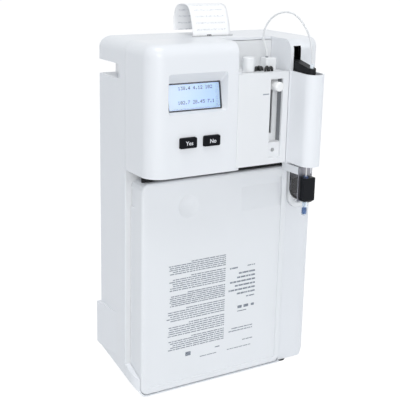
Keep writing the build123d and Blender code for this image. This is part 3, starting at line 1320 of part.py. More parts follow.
PARTS = (
    rear_casing, casing_screws, rubber_feet, front_chassis, front_tray, side_panel, display_cover,
    column_housing, recess_panel, lcd_glass, lcd_module, keypad_board, module_body, electrodes, module_cap,
    tube_fitting, electrode_leads, module_door, door_hinge_pins, latch_knob, sampler_cover, sampler_arm,
    sample_probe, guide_rod, lead_screw, sampler_frame, sampler_motor, probe_guide, wiper_bracket,
    wiper_block, wiper_sleeve, wiper_seal, pump_housing, pump_cover, pump_rotor, pump_hose, pump_motor,
    pack_front, pack_box, fluid_pouches, pack_connector, valve_block, printer_frame, platen_roller,
    roll_spindle, paper_roll, tear_bar, receipt_paper, paper_hatch, power_inlet, switch_rocker,
    power_supply, main_board,
)

os.makedirs("parts", exist_ok=True)
for make in PARTS:
    save(make.__name__, make())
for index in range(ROLLER_COUNT):
    save(f"pump_roller_{index + 1}", pump_roller(index))
for name, x in zip(("key_accept", "key_reject"), KEY_X):
    save(name, key(x))
save("sample_tube", free_tube(SAMPLE_ROUTE))
save("wiper_tube", free_tube(WIPER_ROUTE))
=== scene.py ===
from math import cos, pi, radians, sin

import bpy
import numpy as np
from mathutils import Matrix, Vector


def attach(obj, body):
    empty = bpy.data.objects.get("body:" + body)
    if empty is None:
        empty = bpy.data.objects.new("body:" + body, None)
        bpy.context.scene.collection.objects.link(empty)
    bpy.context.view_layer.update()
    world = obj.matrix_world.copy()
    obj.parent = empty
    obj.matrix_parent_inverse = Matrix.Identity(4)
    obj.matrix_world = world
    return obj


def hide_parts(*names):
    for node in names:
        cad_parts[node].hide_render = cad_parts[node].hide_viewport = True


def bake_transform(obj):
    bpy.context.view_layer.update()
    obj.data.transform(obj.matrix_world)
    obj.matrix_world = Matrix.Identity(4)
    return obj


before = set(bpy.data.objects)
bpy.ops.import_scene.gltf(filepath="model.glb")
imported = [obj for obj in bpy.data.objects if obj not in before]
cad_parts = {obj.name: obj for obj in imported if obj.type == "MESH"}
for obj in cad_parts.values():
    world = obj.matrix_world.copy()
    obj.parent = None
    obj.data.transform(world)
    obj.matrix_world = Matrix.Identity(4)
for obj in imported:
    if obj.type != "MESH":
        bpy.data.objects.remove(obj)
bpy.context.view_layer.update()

# Camera
# The analyzer is seen from its front left and a little above, through a long lens. The axes are
# the lens's own right, up and forward directions, turned a little about the line of sight.
CAMERA_PLACE = Vector((-0.5584, -0.8377, 0.4959))
CAMERA_RIGHT = Vector((0.84805, -0.52992, 0.0))
CAMERA_UP = Vector((0.14383, 0.23018, 0.96246))
CAMERA_FORWARD = Vector((0.51003, 0.81621, -0.27142))
CAMERA_ROLL = radians(1.273)
across = cos(CAMERA_ROLL) * CAMERA_RIGHT + sin(CAMERA_ROLL) * CAMERA_UP
upwards = cos(CAMERA_ROLL) * CAMERA_UP - sin(CAMERA_ROLL) * CAMERA_RIGHT
lens = bpy.data.cameras.new("camera")
lens.lens = 83.54
lens.sensor_width = 36.0
camera = bpy.data.objects.new("camera", lens)
turned = Matrix((across, upwards, -CAMERA_FORWARD)).transposed().to_4x4()
camera.matrix_world = Matrix.Translation(CAMERA_PLACE) @ turned
bpy.context.collection.objects.link(camera)
bpy.context.scene.camera = camera

# Sample tube
# Fine clear tube that is pushed on the module's grey pin, loops up over the top and drops into the
# arm's socket. Its line is a spline through the air, and the wall is a ring carried along it.
TUBE_RADIUS = 0.0010
TUBE_BORE = 0.0005
SAMPLE_ROUTE = (  # in millimetres
    (31.0, -23.5, 375.5), (31.0, -23.5, 381.0), (29.2, -20.8, 389.0), (28.2, -19.1, 397.5),
    (29.6, -21.3, 407.5), (33.2, -26.9, 416.8), (38.6, -35.2, 422.8), (45.2, -45.3, 423.2),
    (50.3, -53.3, 417.0), (54.2, -59.2, 407.8), (57.2, -63.9, 397.0), (58.5, -65.9, 384.5),
    (58.9, -66.5, 375.5), (58.9, -66.5, 370.5))


def spline_line(name, route):
    """Points along the quadratic spline whose control points are the route, in millimetres."""
    curve = bpy.data.curves.new(name + "_line", "CURVE")
    curve.dimensions = "3D"
    curve.resolution_u = 10
    spline = curve.splines.new("NURBS")
    spline.points.add(len(route) - 1)
    weighted = np.column_stack((np.array(route) / 1000, np.ones(len(route))))
    spline.points.foreach_set("co", weighted.ravel())
    spline.order_u = 3
    spline.use_endpoint_u = True
    carrier = bpy.data.objects.new(name + "_line", curve)
    bpy.context.collection.objects.link(carrier)
    bpy.context.view_layer.update()
    mesh = bpy.data.meshes.new_from_object(carrier)
    line = np.empty(3 * len(mesh.vertices))
    mesh.vertices.foreach_get("co", line)
    bpy.data.objects.remove(carrier)
    bpy.data.meshes.remove(mesh)
    return line.reshape(-1, 3)


def ring_surface(line, aside, radii, sides):
    """Rings round a line: each point is the line's point plus radius times (cos a times the
    direction across the line and aside, plus sin a times the direction across both)."""
    ahead = np.gradient(line, axis=0)
    ahead /= np.linalg.norm(ahead, axis=1)[:, None]
    first = np.cross(ahead, np.asarray(aside, float))
    first /= np.linalg.norm(first, axis=1)[:, None]
    second = np.cross(ahead, first)
    turn = np.linspace(0, 2 * pi, sides, endpoint=False)[None, :, None]
    spoke = first[:, None] * np.cos(turn) + second[:, None] * np.sin(turn)
    return line[:, None] + spoke * np.broadcast_to(radii, len(line))[:, None, None]


def grid_faces(rows, columns, closed):
    """Quads between neighbouring rows of a grid, whose columns join up again where closed."""
    row = np.arange(rows - 1)[:, None] * columns
    here = np.arange(columns if closed else columns - 1)[None, :]
    after = (here + 1) % columns
    corners = (row + here, row + after, row + columns + after, row + columns + here)
    return np.stack(corners, axis=-1).reshape(-1, 4)


def new_piece(name, points, faces, smooth=True):
    """A mesh from an array of points and an array of faces, as an object at the origin."""
    mesh = bpy.data.meshes.new(name)
    corners = [list(map(int, face)) for face in faces]
    mesh.from_pydata(np.asarray(points).reshape(-1, 3).tolist(), [], corners)
    mesh.validate()
    mesh.polygons.foreach_set("use_smooth", [smooth] * len(mesh.polygons))
    mesh.update()
    piece = bpy.data.objects.new(name, mesh)
    bpy.context.collection.objects.link(piece)
    return piece


def hollow_tube(name, line, aside, outer, bore, sides=16):
    """A tube's outer wall and bore as one closed skin: the bore's rings follow the outer rings
    backwards, and the last ring meets the first."""
    skin = ring_surface(line, aside, outer, sides)
    hole = ring_surface(line, aside, bore, sides)[::-1]
    rings = np.concatenate((skin, hole))
    faces = grid_faces(len(rings), sides, True)
    first = np.arange(sides)
    last = first + (len(rings) - 1) * sides
    seam = np.stack((last, np.roll(last, -1), np.roll(first, -1), first), axis=-1)
    return new_piece(name, rings, np.concatenate((faces, seam)))


def new_material(name):
    """A material with its shader, node list and link function."""
    material = bpy.data.materials.new(name)
    material.use_nodes = True
    nodes = material.node_tree.nodes
    return material, nodes, material.node_tree.links.new, nodes["Principled BSDF"]


def feed(link, socket, term):
    """Links another node's output to a socket, or sets it to a number, vector or opaque colour."""
    if isinstance(term, bpy.types.NodeSocket):
        link(term, socket)
    else:
        socket.default_value = (*term, 1) if socket.type == "RGBA" else term


def maths(nodes, link, operation, *terms):
    """What a math node makes of its terms, which are numbers or other nodes' outputs."""
    node = nodes.new("ShaderNodeMath")
    node.operation = operation
    for socket, term in zip(node.inputs, terms):
        feed(link, socket, term)
    return node.outputs[0]


def object_place(nodes):
    """The output with the point's place on its own object."""
    return nodes.new("ShaderNodeTexCoord").outputs["Object"]


def uneven_group():
    """Slight unevenness of a moulded or rolled surface: a slow and a fine noise give a shade
    near 1, a roughness about the given one and a height."""
    group = bpy.data.node_groups.new("uneven surface", "ShaderNodeTree")
    for label in ("Slow", "Fine", "Shade", "Roughness", "Spread"):
        group.interface.new_socket(label, in_out="INPUT", socket_type="NodeSocketFloat")
    for label in ("Tint", "Gloss", "Height"):
        group.interface.new_socket(label, in_out="OUTPUT", socket_type="NodeSocketFloat")
    nodes, link = group.nodes, group.links.new
    inputs, outputs = nodes.new("NodeGroupInput"), nodes.new("NodeGroupOutput")
    place = object_place(nodes)
    slow, fine = nodes.new("ShaderNodeTexNoise"), nodes.new("ShaderNodeTexNoise")
    slow.inputs["Detail"].default_value = 3.0
    fine.inputs["Detail"].default_value = 2.0
    for noise, scale in ((slow, "Slow"), (fine, "Fine")):
        link(place, noise.inputs["Vector"])
        link(inputs.outputs[scale], noise.inputs["Scale"])
    sway = maths(nodes, link, "SUBTRACT", slow.outputs["Fac"], 0.5)
    given = inputs.outputs
    for label, amount, middle in (("Tint", "Shade", 1.0), ("Gloss", "Spread", given["Roughness"])):
        link(maths(nodes, link, "MULTIPLY_ADD", sway, given[amount], middle), outputs.inputs[label])
    link(fine.outputs["Fac"], outputs.inputs["Height"])
    return group


UNEVEN = uneven_group()


def add_uneven(shader, nodes, link, colour, roughness, shade=0.02, spread=0.08, fine=1800.0,
               depth=0.00002, slow=18.0):
    """Puts the uneven surface into a material: colour times shade, roughness, and a fine bump."""
    surface = nodes.new("ShaderNodeGroup")
    surface.node_tree = UNEVEN
    for label, value in (("Slow", slow), ("Fine", fine), ("Shade", shade), ("Roughness", roughness),
                         ("Spread", spread)):
        surface.inputs[label].default_value = value
    shaded = nodes.new("ShaderNodeVectorMath")
    shaded.operation = "SCALE"
    feed(link, shaded.inputs[0], colour)
    link(surface.outputs["Tint"], shaded.inputs["Scale"])
    link(shaded.outputs[0], shader.inputs["Base Color"])
    link(surface.outputs["Gloss"], shader.inputs["Roughness"])
    bump = nodes.new("ShaderNodeBump")
    bump.inputs["Distance"].default_value = depth
    link(surface.outputs["Height"], bump.inputs["Height"])
    link(bump.outputs["Normal"], shader.inputs["Normal"])


def clear_finish(name, colour, roughness, ior=1.46, clear=1.0):
    """A see-through finish: the shader's own transmission, under a slightly uneven gloss."""
    material, nodes, link, shader = new_material(name)
    add_uneven(shader, nodes, link, colour, roughness, shade=0.03, spread=0.05, depth=0.000004)
    shader.inputs["Transmission Weight"].default_value = clear
    shader.inputs["IOR"].default_value = ior
    return material


tube_clear = clear_finish("clear tube", (0.88, 0.89, 0.90), 0.40, ior=1.30, clear=0.20)
sample_line = spline_line("sample_tube", SAMPLE_ROUTE)
sample_aside = np.cross(sample_line[-1] - sample_line[0], (0, 0, 1))
sample_piece = hollow_tube("sample_tube_wall", sample_line, sample_aside, TUBE_RADIUS, TUBE_BORE)
sample_piece.data.materials.append(tube_clear)
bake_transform(sample_piece)
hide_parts("sample_tube")

# Wiper tube
# The same clear tube from the wiper's sleeve, round the right side of the pack, to the pump. It
# lies level, so its rings are built from the upright direction.
WIPER_ROUTE = (  # in millimetres
    (62.1, -64.3, 216.2), (66.5, -61.3, 216.2), (72.5, -57.1, 215.4), (77.5, -51.1, 213.8),
    (79.3, -42.7, 211.6), (80.6, -33.3, 209.0), (84.4, -24.5, 205.4), (87.2, -17.9, 203.4),
    (88.3, -13.5, 202.6))
wiper_line = spline_line("wiper_tube", WIPER_ROUTE)
wiper_piece = hollow_tube("wiper_tube_wall", wiper_line, (0, 0, 1), TUBE_RADIUS, TUBE_BORE)
wiper_piece.data.materials.append(tube_clear)
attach(wiper_piece, "analyzer")
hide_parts("wiper_tube")

# Rear casing, front tray, side panel and paper hatch
# Injection mouldings in a cool white with a fine spark-eroded grain. The paper hatch in the back
# wall and the pump's side panel come from the same material.


def plain_finish(name, colour, roughness, metallic=0.0, coat=0.0, specular=0.5, **uneven):
    """A finish of one colour with the uneven surface over it."""
    material, nodes, link, shader = new_material(name)
    add_uneven(shader, nodes, link, colour, roughness, **uneven)
    shader.inputs["Metallic"].default_value = metallic
    shader.inputs["Coat Weight"].default_value = coat
    shader.inputs["Specular IOR Level"].default_value = specular
    return material


def dress(material, *nodes):
    """Gives CAD nodes their finish."""
    for node in nodes:
        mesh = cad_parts[node].data
        mesh.materials.clear()
        mesh.materials.append(material)


case_white = plain_finish("case white", (0.80, 0.815, 0.84), 0.34)
dress(case_white, "rear_casing", "front_tray", "side_panel", "paper_hatch")

# Casing screws
# Six zinc-plated pan heads with a six-lobed recess, sunk in the back wall. One outline is turned
# about the screw's axis, and the recess's rings swell and shrink six times round.
SCREW_PLACES = [(x, z) for x in (-0.1065, 0.1065) for z in (0.110, 0.215, 0.320)]
SCREW_RINGS = np.array((  # radius, depth behind the back wall and depth of the lobes, in mm
    (0.0, 1.1, 0.0), (0.9, 1.1, 0.16), (1.15, 1.0, 0.22), (1.2, 0.25, 0.22), (1.32, 0.15, 0.2),
    (1.9, 0.12, 0.0), (2.7, 0.2, 0.0), (3.05, 0.45, 0.0), (3.15, 0.75, 0.0), (3.15, 1.4, 0.0),
    (1.45, 1.4, 0.0), (1.45, 7.6, 0.0), (1.1, 8.0, 0.0), (0.0, 8.0, 0.0)))
SCREW_SIDES = 48
BACK_WALL = 77.5        # in millimetres


def lobed_screw(x, z):
    """Rings of a screw: radius plus lobes times cos 6a, with the given depth behind the wall."""
    turn = np.linspace(0, 2 * pi, SCREW_SIDES, endpoint=False)[None, :]
    radius, depth, lobes = (SCREW_RINGS[:, i][:, None] for i in range(3))
    reach = radius + lobes * np.cos(6 * turn)
    y = np.broadcast_to(BACK_WALL - depth, reach.shape)
    return np.stack((x + reach * np.cos(turn) / 1000, y / 1000, z + reach * np.sin(turn) / 1000),
                    axis=-1)


screw_points = np.concatenate([lobed_screw(x, z).reshape(-1, 3) for x, z in SCREW_PLACES])
screw_faces = grid_faces(len(SCREW_RINGS), SCREW_SIDES, True)
screw_starts = np.arange(len(SCREW_PLACES)) * len(SCREW_RINGS) * SCREW_SIDES
screw_piece = new_piece("casing_screw_heads", screw_points,
                        (screw_faces + screw_starts[:, None, None]).reshape(-1, 4))
zinc = plain_finish("zinc plate", (0.60, 0.61, 0.60), 0.32, metallic=1.0, shade=0.08, spread=0.18,
                    fine=3000.0, depth=0.00001)
screw_piece.data.materials.append(zinc)
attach(screw_piece, "analyzer")
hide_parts("casing_screws")

# Rubber feet and front chassis
# Four black pads cut from sheet. The inner bulkhead, and the back panel of the recess over the
# electrode module, are vacuum-formed in uncoloured white polystyrene.
foot_rubber = plain_finish("foot rubber", (0.030, 0.030, 0.032), 0.75, shade=0.15, fine=900.0,
                           depth=0.00008)
dress(foot_rubber, "rubber_feet")
chassis_white = plain_finish("chassis white", (0.76, 0.77, 0.78), 0.5, shade=0.03)
dress(chassis_white, "front_chassis", "recess_panel")

# Painted shadow strip
# A black lip under the upper covers, a dark piece put in the gap over the pack as painted shadow.
# It runs straight along the pack with a round lower edge and a flat top.
STRIP_X = (-0.1115, 0.0740)
STRIP_Y = -0.0065
STRIP_Z = (0.2474, 0.2578)
STRIP_T = 0.0024


def lip_section(steps):
    """Upright sides and a half circle: y = middle + half * cos a, z = centre - half * sin a."""
    turn = np.linspace(0, pi, steps)
    half = STRIP_T / 2
    low = np.column_stack((STRIP_Y + half * np.cos(turn), STRIP_Z[0] + half - half * np.sin(turn)))
    return np.vstack(([STRIP_Y + half, STRIP_Z[1]], low, [STRIP_Y - half, STRIP_Z[1]]))


lip = lip_section(steps=9)
lip_ends = [np.column_stack((np.full(len(lip), x), lip)) for x in STRIP_X]
lip_middles = [np.broadcast_to(end.mean(0), end.shape) for end in lip_ends]
lip_rings = np.stack((lip_middles[0], lip_ends[0], lip_ends[1], lip_middles[1]))
lip_faces = grid_faces(len(lip_rings), len(lip), True)[:, ::-1]
painted_shadow_strip = new_piece("painted_shadow_strip", lip_rings, lip_faces, smooth=False)
# Painted shadow: the strip's near-black colour stands for the shade in the gap.
painted_shadow_black = plain_finish("painted shadow black", (0.012, 0.012, 0.013), 0.7, specular=0.2, shade=0.2,
                            fine=900.0, depth=0.00006)
painted_shadow_strip.data.materials.append(painted_shadow_black)
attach(painted_shadow_strip, "analyzer")

# Display cover
# The moulded cover of the left upper front, in the case's white and a shade smoother than the
# casing. It has a sunk window for the display and an opening for each key.
cover_white = plain_finish("cover white", (0.80, 0.815, 0.84), 0.30)
dress(cover_white, "display_cover")

# Display
# A four-line character cell under clear glass: a black frame round a pale blue field that glows
# with its lamp and is lighter at the left. Characters are dark dots; it leans back with its glass.
FIELD_X = (-0.0954, -0.0342)
FIELD_Z = (0.3268, 0.3524)
CELL_FACE = -0.0319
LEAN = radians(-10.0)
GLASS_MIDDLE = (-0.0335, 0.3399)
CHARACTER = 0.00295     # width of a character's place, six dots wide
DOT_COLUMNS = {         # each column's seven dots, the lowest bit on top
    "0": (0x3E, 0x51, 0x49, 0x45, 0x3E), "1": (0x00, 0x42, 0x7F, 0x40, 0x00),
    "2": (0x42, 0x61, 0x51, 0x49, 0x46), "3": (0x21, 0x41, 0x45, 0x4B, 0x31),
    "4": (0x18, 0x14, 0x12, 0x7F, 0x10), "5": (0x27, 0x45, 0x45, 0x45, 0x39),
    "7": (0x01, 0x71, 0x09, 0x05, 0x03), "8": (0x36, 0x49, 0x49, 0x49, 0x36),
    ".": (0x00, 0x60, 0x60, 0x00, 0x00),
}
LINES = (  # text, left end and top
    ("138.4 4.12 102", -0.0835, 0.3506), ("102.7 28.45 7.1", -0.0847, 0.3361))
DOT = 0.00049
DOT_DEPTH = 0.00006     # how far a dot reaches before and behind the cell's face


def within(nodes, link, limits):
    """1 where each named Object axis lies between its two limits, and 0 elsewhere."""
    split = nodes.new("ShaderNodeSeparateXYZ")
    link(object_place(nodes), split.inputs[0])
    mask = 1.0
    for axis, (low, high) in limits.items():
        middle, half = (low + high) / 2, (high - low) / 2
        near = maths(nodes, link, "COMPARE", split.outputs[axis], middle, half)
        mask = maths(nodes, link, "MULTIPLY", mask, near)
    return mask


def mixed(nodes, link, mask, first, second):
    """The first colour where the mask is 0 and the second where it is 1."""
    tone = nodes.new("ShaderNodeMix")
    tone.data_type = "RGBA"
    for label, term in (("Factor", mask), ("A", first), ("B", second)):
        feed(link, tone.inputs[label], term)
    return tone.outputs["Result"]


display, nodes, link, shader = new_material("display cell")
mask = within(nodes, link, {"X": FIELD_X, "Z": FIELD_Z})
split = nodes.new("ShaderNodeSeparateXYZ")
link(object_place(nodes), split.inputs[0])
sweep = nodes.new("ShaderNodeMapRange")
sweep.inputs["From Min"].default_value, sweep.inputs["From Max"].default_value = FIELD_X
link(split.outputs["X"], sweep.inputs["Value"])
field = mixed(nodes, link, sweep.outputs["Result"], (0.72, 0.83, 0.98), (0.52, 0.71, 0.95))
whole = mixed(nodes, link, mask, (0.012, 0.016, 0.035), field)
add_uneven(shader, nodes, link, whole, 0.45, shade=0.03, fine=2500.0, depth=0.000005)
link(mixed(nodes, link, mask, (0, 0, 0), field), shader.inputs["Emission Color"])
shader.inputs["Emission Strength"].default_value = 0.31
dress(display, "lcd_module")
dress(clear_finish("display glass", (0.96, 0.98, 1.0), 0.03), "lcd_glass")


def thin_boxes(lows, highs):
    """Closed boxes from their lowest and highest corners: corner k takes the high value of an axis
    where that axis's bit of k is set."""
    bits = np.array([[(k >> axis) & 1 for axis in range(3)] for k in range(8)])
    points = lows[:, None] + bits[None] * (highs - lows)[:, None]
    sides = np.array(((0, 2, 3, 1), (4, 5, 7, 6), (0, 1, 5, 4),
                      (2, 6, 7, 3), (0, 4, 6, 2), (1, 3, 7, 5)))
    faces = (np.arange(len(lows)) * 8)[:, None, None] + sides[None]
    return points.reshape(-1, 3), faces.reshape(-1, 4)


def dot_corners():
    """Left and top of each dark dot of both lines."""
    pitch = CHARACTER / 6
    for text, left, top in LINES:
        for place, sign in enumerate(text):
            for column, bits in enumerate(DOT_COLUMNS.get(sign, ())):
                for row in range(7):
                    if bits >> row & 1:
                        yield left + place * CHARACTER + column * pitch, top - row * pitch


def leaned(points):
    """Turned by a about the glass's middle: y = cos a * y' - sin a * z' and
    z = sin a * y' + cos a * z'."""
    y, z = points[:, 1] - GLASS_MIDDLE[0], points[:, 2] - GLASS_MIDDLE[1]
    return np.column_stack((points[:, 0], GLASS_MIDDLE[0] + cos(LEAN) * y - sin(LEAN) * z,
                            GLASS_MIDDLE[1] + sin(LEAN) * y + cos(LEAN) * z))


lefts, tops = np.array(list(dot_corners())).T
face = np.full(len(lefts), CELL_FACE)
dot_lows = np.column_stack((lefts, face - DOT_DEPTH, tops - DOT))
dot_highs = np.column_stack((lefts + DOT, face + DOT_DEPTH, tops))
dot_points, dot_faces = thin_boxes(dot_lows, dot_highs)
dot_piece = new_piece("display_dots", leaned(dot_points), dot_faces, smooth=False)
display_ink = plain_finish("display ink", (0.020, 0.030, 0.075), 0.5, specular=0.2)
dot_piece.data.materials.append(display_ink)
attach(dot_piece, "analyzer")

# Keys
# Two black rubberised caps behind the cover, each with its word printed in white on the face.
KEY_WORDS = {"accept": ("Yes", -0.0766), "reject": ("No", -0.0482)}   # word and its middle
KEY_FACE = -0.0445
WORD_HEIGHT = 0.2938
WORD_SIZE = 0.0060
BOLDNESS = 0.012        # how far the strokes grow, as a share of the size
INK_T = 0.00003
key_black = plain_finish("key black", (0.0042, 0.0048, 0.0072), 0.45, specular=0.10, shade=0.1,
                         fine=2600.0, depth=0.00001)
key_print = plain_finish("key print", (0.82, 0.83, 0.86), 0.5)
dress(key_black, "key_accept", "key_reject")


def printed_word(name, word, middle):
    """A word as a thin flat mesh on a key, its letters upright and facing the front."""
    letters = bpy.data.curves.new(name, "FONT")
    letters.body = word
    letters.size = WORD_SIZE
    letters.align_x = "CENTER"
    letters.align_y = "CENTER"
    letters.offset = WORD_SIZE * BOLDNESS
    letters.extrude = INK_T
    carrier = bpy.data.objects.new(name + "_text", letters)
    bpy.context.collection.objects.link(carrier)
    bpy.context.view_layer.update()
    mesh = bpy.data.meshes.new_from_object(carrier)
    bpy.data.objects.remove(carrier)
    mesh.transform(Matrix.Translation(middle) @ Matrix.Rotation(pi / 2, 4, "X"))
    piece = bpy.data.objects.new(name, mesh)
    bpy.context.collection.objects.link(piece)
    return piece


for body, (word, x) in KEY_WORDS.items():
    piece = printed_word(f"key_word_{body}", word, Vector((x, KEY_FACE, WORD_HEIGHT)))
    piece.data.materials.clear()
    piece.data.materials.append(key_print)
    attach(piece, body)

# Boards
# Two boards of laminate under green lacquer, in which the copper tracks show as lighter lines. One
# carries the keys' switches, and the other is the controller's.
board, nodes, link, shader = new_material("green laminate")
tracks = nodes.new("ShaderNodeTexBrick")
tracks.inputs["Scale"].default_value = 160.0
tracks.inputs["Mortar Size"].default_value = 0.06
for label, colour in (("Color1", (0.02, 0.13, 0.05)), ("Color2", (0.03, 0.16, 0.06)),
                      ("Mortar", (0.06, 0.24, 0.10))):
    feed(link, tracks.inputs[label], colour)
turn = nodes.new("ShaderNodeMapping")
turn.inputs["Rotation"].default_value = (pi / 2, 0, 0)
link(object_place(nodes), turn.inputs["Vector"])
link(turn.outputs["Vector"], tracks.inputs["Vector"])
add_uneven(shader, nodes, link, tracks.outputs["Color"], 0.35)
dress(board, "keypad_board", "main_board")

# Electrode module
# A white carrier with four tinted acrylic electrodes, the white cap of the reference electrode and
# the white tube port. The port's pin is grey.
module_white = plain_finish("module white", (0.84, 0.85, 0.86), 0.30, coat=0.1)
dress(module_white, "module_body", "module_cap")
dress(clear_finish("electrode acrylic", (0.72, 0.80, 0.84), 0.08), "electrodes")
PORT_TOP = 0.37405


def two_tones(nodes, link, height, below, above):
    """One colour below a height and another above it, and the mask that is 1 above."""
    mask = within(nodes, link, {"Z": (height, 1.0)})
    return mixed(nodes, link, mask, below, above), mask


port, nodes, link, shader = new_material("tube port")
tone = two_tones(nodes, link, PORT_TOP, (0.84, 0.85, 0.86), (0.30, 0.31, 0.33))[0]
add_uneven(shader, nodes, link, tone, 0.32)
dress(port, "tube_fitting")

# Electrode leads
# Black leads that arch out of the carrier and in again, two of them in front of the tube port.
# Each is a half ellipse with straight feet, and a ring carried along it.
LEAD_RADIUS = 1.35
LEADS = (  # first foot, last foot, rise above the carrier's top, all in millimetres
    ((14.6, -26.4), (17.8, -24.6), 3.9), ((18.4, -24.2), (20.2, -27.8), 4.4),
    ((21.0, -24.4), (24.2, -26.0), 3.8), ((24.4, -30.9), (28.2, -30.9), 4.6),
    ((29.4, -30.9), (33.4, -30.9), 4.0))
CARRIER_TOP = 360.5
FOOT_DEPTH = 3.0
ARCH_POINTS = 24


def lead_line(first, last, rise):
    """Two straight feet, and between them x, y = middle - half * cos a and
    z = top + rise * sin a, for a from 0 to pi."""
    first, last = np.array(first), np.array(last)
    turn = np.linspace(0, pi, ARCH_POINTS)[:, None]
    flat = (first + last) / 2 - (last - first) / 2 * np.cos(turn)
    arch = np.hstack((flat, CARRIER_TOP + rise * np.sin(turn)))
    feet = np.array([[*first, CARRIER_TOP - FOOT_DEPTH], [*last, CARRIER_TOP - FOOT_DEPTH]])
    return np.vstack((feet[:1], arch, feet[1:])) / 1000


def closed_rod(name, line, aside, radius, sides=14):
    """Rings along a line whose first and last ring shrink to a point."""
    rings = ring_surface(line, aside, radius, sides)
    ends = np.broadcast_to(line[[0, -1]][:, None], (2, sides, 3))
    rings = np.concatenate((ends[:1], rings, ends[1:]))
    return new_piece(name, rings, grid_faces(len(rings), sides, True))


lead_black = plain_finish("lead rubber", (0.014, 0.015, 0.016), 0.42, shade=0.1, depth=0.00001)
for index, (first, last, rise) in enumerate(LEADS):
    along = np.array(last) - np.array(first)
    piece = closed_rod(f"electrode_lead_{index + 1}", lead_line(first, last, rise),
                       (along[1], -along[0], 0), LEAD_RADIUS / 1000)
    piece.data.materials.append(lead_black)
    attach(piece, "analyzer")
    if index == 0:
        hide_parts("electrode_leads")

# Module door, its pins and its latch
# A white moulded door on two steel pins. A grey plate on the right wall of its window is painted
# shade for that wall, and a small printed dash beside the knob marks the locked place.


def box_piece(name, lows, highs):
    """A piece of one or more thin boxes, from their lowest and highest corners."""
    return new_piece(name, *thin_boxes(np.atleast_2d(lows), np.atleast_2d(highs)), smooth=False)


door_white = plain_finish("door white", (0.81, 0.82, 0.835), 0.34)
knob_white = plain_finish("knob white", (0.90, 0.90, 0.90), 0.25, coat=0.2)
pin_steel = plain_finish("ground steel", (0.56, 0.57, 0.58), 0.28, metallic=1.0, shade=0.06,
                         spread=0.12)
dress(door_white, "module_door")
dress(knob_white, "latch_knob")
dress(pin_steel, "door_hinge_pins")
# Painted shade: a thin grey plate darkens the window's right wall, which lies in shade.
SHADE_PLATE_LOW = (0.04055, -0.0390, 0.2848)
SHADE_PLATE_HIGH = (0.0410, -0.0325, 0.3528)
shade_plate = box_piece("window_shade_plate", SHADE_PLATE_LOW, SHADE_PLATE_HIGH)
rounded = shade_plate.modifiers.new("rounded", "BEVEL")
rounded.width = 0.00015
rounded.segments = 2
shade_plate.data.materials.append(plain_finish("painted shade grey", (0.22, 0.23, 0.245), 0.6, shade=0.12))
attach(shade_plate, "door")
DASH_LOW = (0.0151, -0.04153, 0.3369)
DASH_HIGH = (0.0229, -0.0415, 0.3381)
dash = box_piece("latch_mark", DASH_LOW, DASH_HIGH)
dash.data.materials.append(plain_finish("grey print", (0.30, 0.33, 0.38), 0.5))
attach(dash, "door")

# Column
# The right upper front. Its inside is black as painted shade, so that the hollow behind the slot
# looks dark: faces that look towards the hollow's middle are black, and so are the slot's sides.
HOLLOW_MIDDLE = (0.085, -0.010, 0.325)
SLOT = {"X": (0.0536, 0.0642), "Y": (-0.0413, 0.0), "Z": (0.2659, 0.3871)}


def vectors(nodes, link, operation, *terms):
    """The outputs of a vector math node whose terms are vectors or other nodes' outputs."""
    node = nodes.new("ShaderNodeVectorMath")
    node.operation = operation
    for socket, term in zip(node.inputs, terms):
        feed(link, socket, term)
    return node.outputs


column, nodes, link, shader = new_material("column white and painted shade")
out = vectors(nodes, link, "SUBTRACT", object_place(nodes), HOLLOW_MIDDLE)[0]
facing = nodes.new("ShaderNodeNewGeometry").outputs["Normal"]
outward = vectors(nodes, link, "DOT_PRODUCT", out, facing)["Value"]
inner = maths(nodes, link, "LESS_THAN", outward, 0.0)
# Painted shade: black where faces look into the hollow and on the slot's sides.
painted_shade = maths(nodes, link, "MAXIMUM", inner, within(nodes, link, SLOT))
coat = mixed(nodes, link, painted_shade, (0.80, 0.815, 0.84), (0.012, 0.012, 0.013))
add_uneven(shader, nodes, link, coat, 0.30)
dress(column, "column_housing")

# Sampler
# The U-shaped guard is a thin white moulding. The arm is black glass-filled nylon on a ground rod,
# and it carries a steel needle with a pale plastic socket at the top.
guard_white = plain_finish("guard white", (0.83, 0.845, 0.87), 0.33)
dress(guard_white, "sampler_cover", "probe_guide")
arm_black = plain_finish("arm black", (0.0075, 0.0085, 0.0100), 0.45, specular=0.18, shade=0.25,
                         fine=1400.0)
dress(arm_black, "sampler_arm")
dress(pin_steel, "guide_rod")
SOCKET_FOOT = 0.3655
probe, nodes, link, shader = new_material("probe")
tone, mask = two_tones(nodes, link, SOCKET_FOOT, (0.62, 0.63, 0.64), (0.78, 0.83, 0.88))
link(maths(nodes, link, "SUBTRACT", 1.0, mask), shader.inputs["Metallic"])
add_uneven(shader, nodes, link, tone, 0.22, fine=3000.0, depth=0.000005)
dress(probe, "sample_probe")

# Lead screw, drive frame and motor
# The screw's thread is rolled: ten starts 2 mm apart, so that a turn moves the arm 20 mm. The frame
# is folded from blackened sheet, and the motor has black end caps round a stack of steel plates.
SCREW_AXIS = (0.0667, -0.0155, 0.0)
STARTS = 10
START_PITCH = 0.002
thread, nodes, link, shader = new_material("rolled thread")
split = nodes.new("ShaderNodeSeparateXYZ")
link(vectors(nodes, link, "SUBTRACT", object_place(nodes), SCREW_AXIS)[0], split.inputs[0])
angle = maths(nodes, link, "ARCTAN2", split.outputs["Y"], split.outputs["X"])
turned = maths(nodes, link, "MULTIPLY", angle, STARTS)
climb = maths(nodes, link, "MULTIPLY_ADD", split.outputs["Z"], 2 * pi / START_PITCH, turned)
add_uneven(shader, nodes, link, (0.52, 0.53, 0.55), 0.3)
shader.inputs["Metallic"].default_value = 1.0
groove = nodes.new("ShaderNodeBump")
groove.inputs["Distance"].default_value = 0.0005
link(maths(nodes, link, "SINE", climb), groove.inputs["Height"])
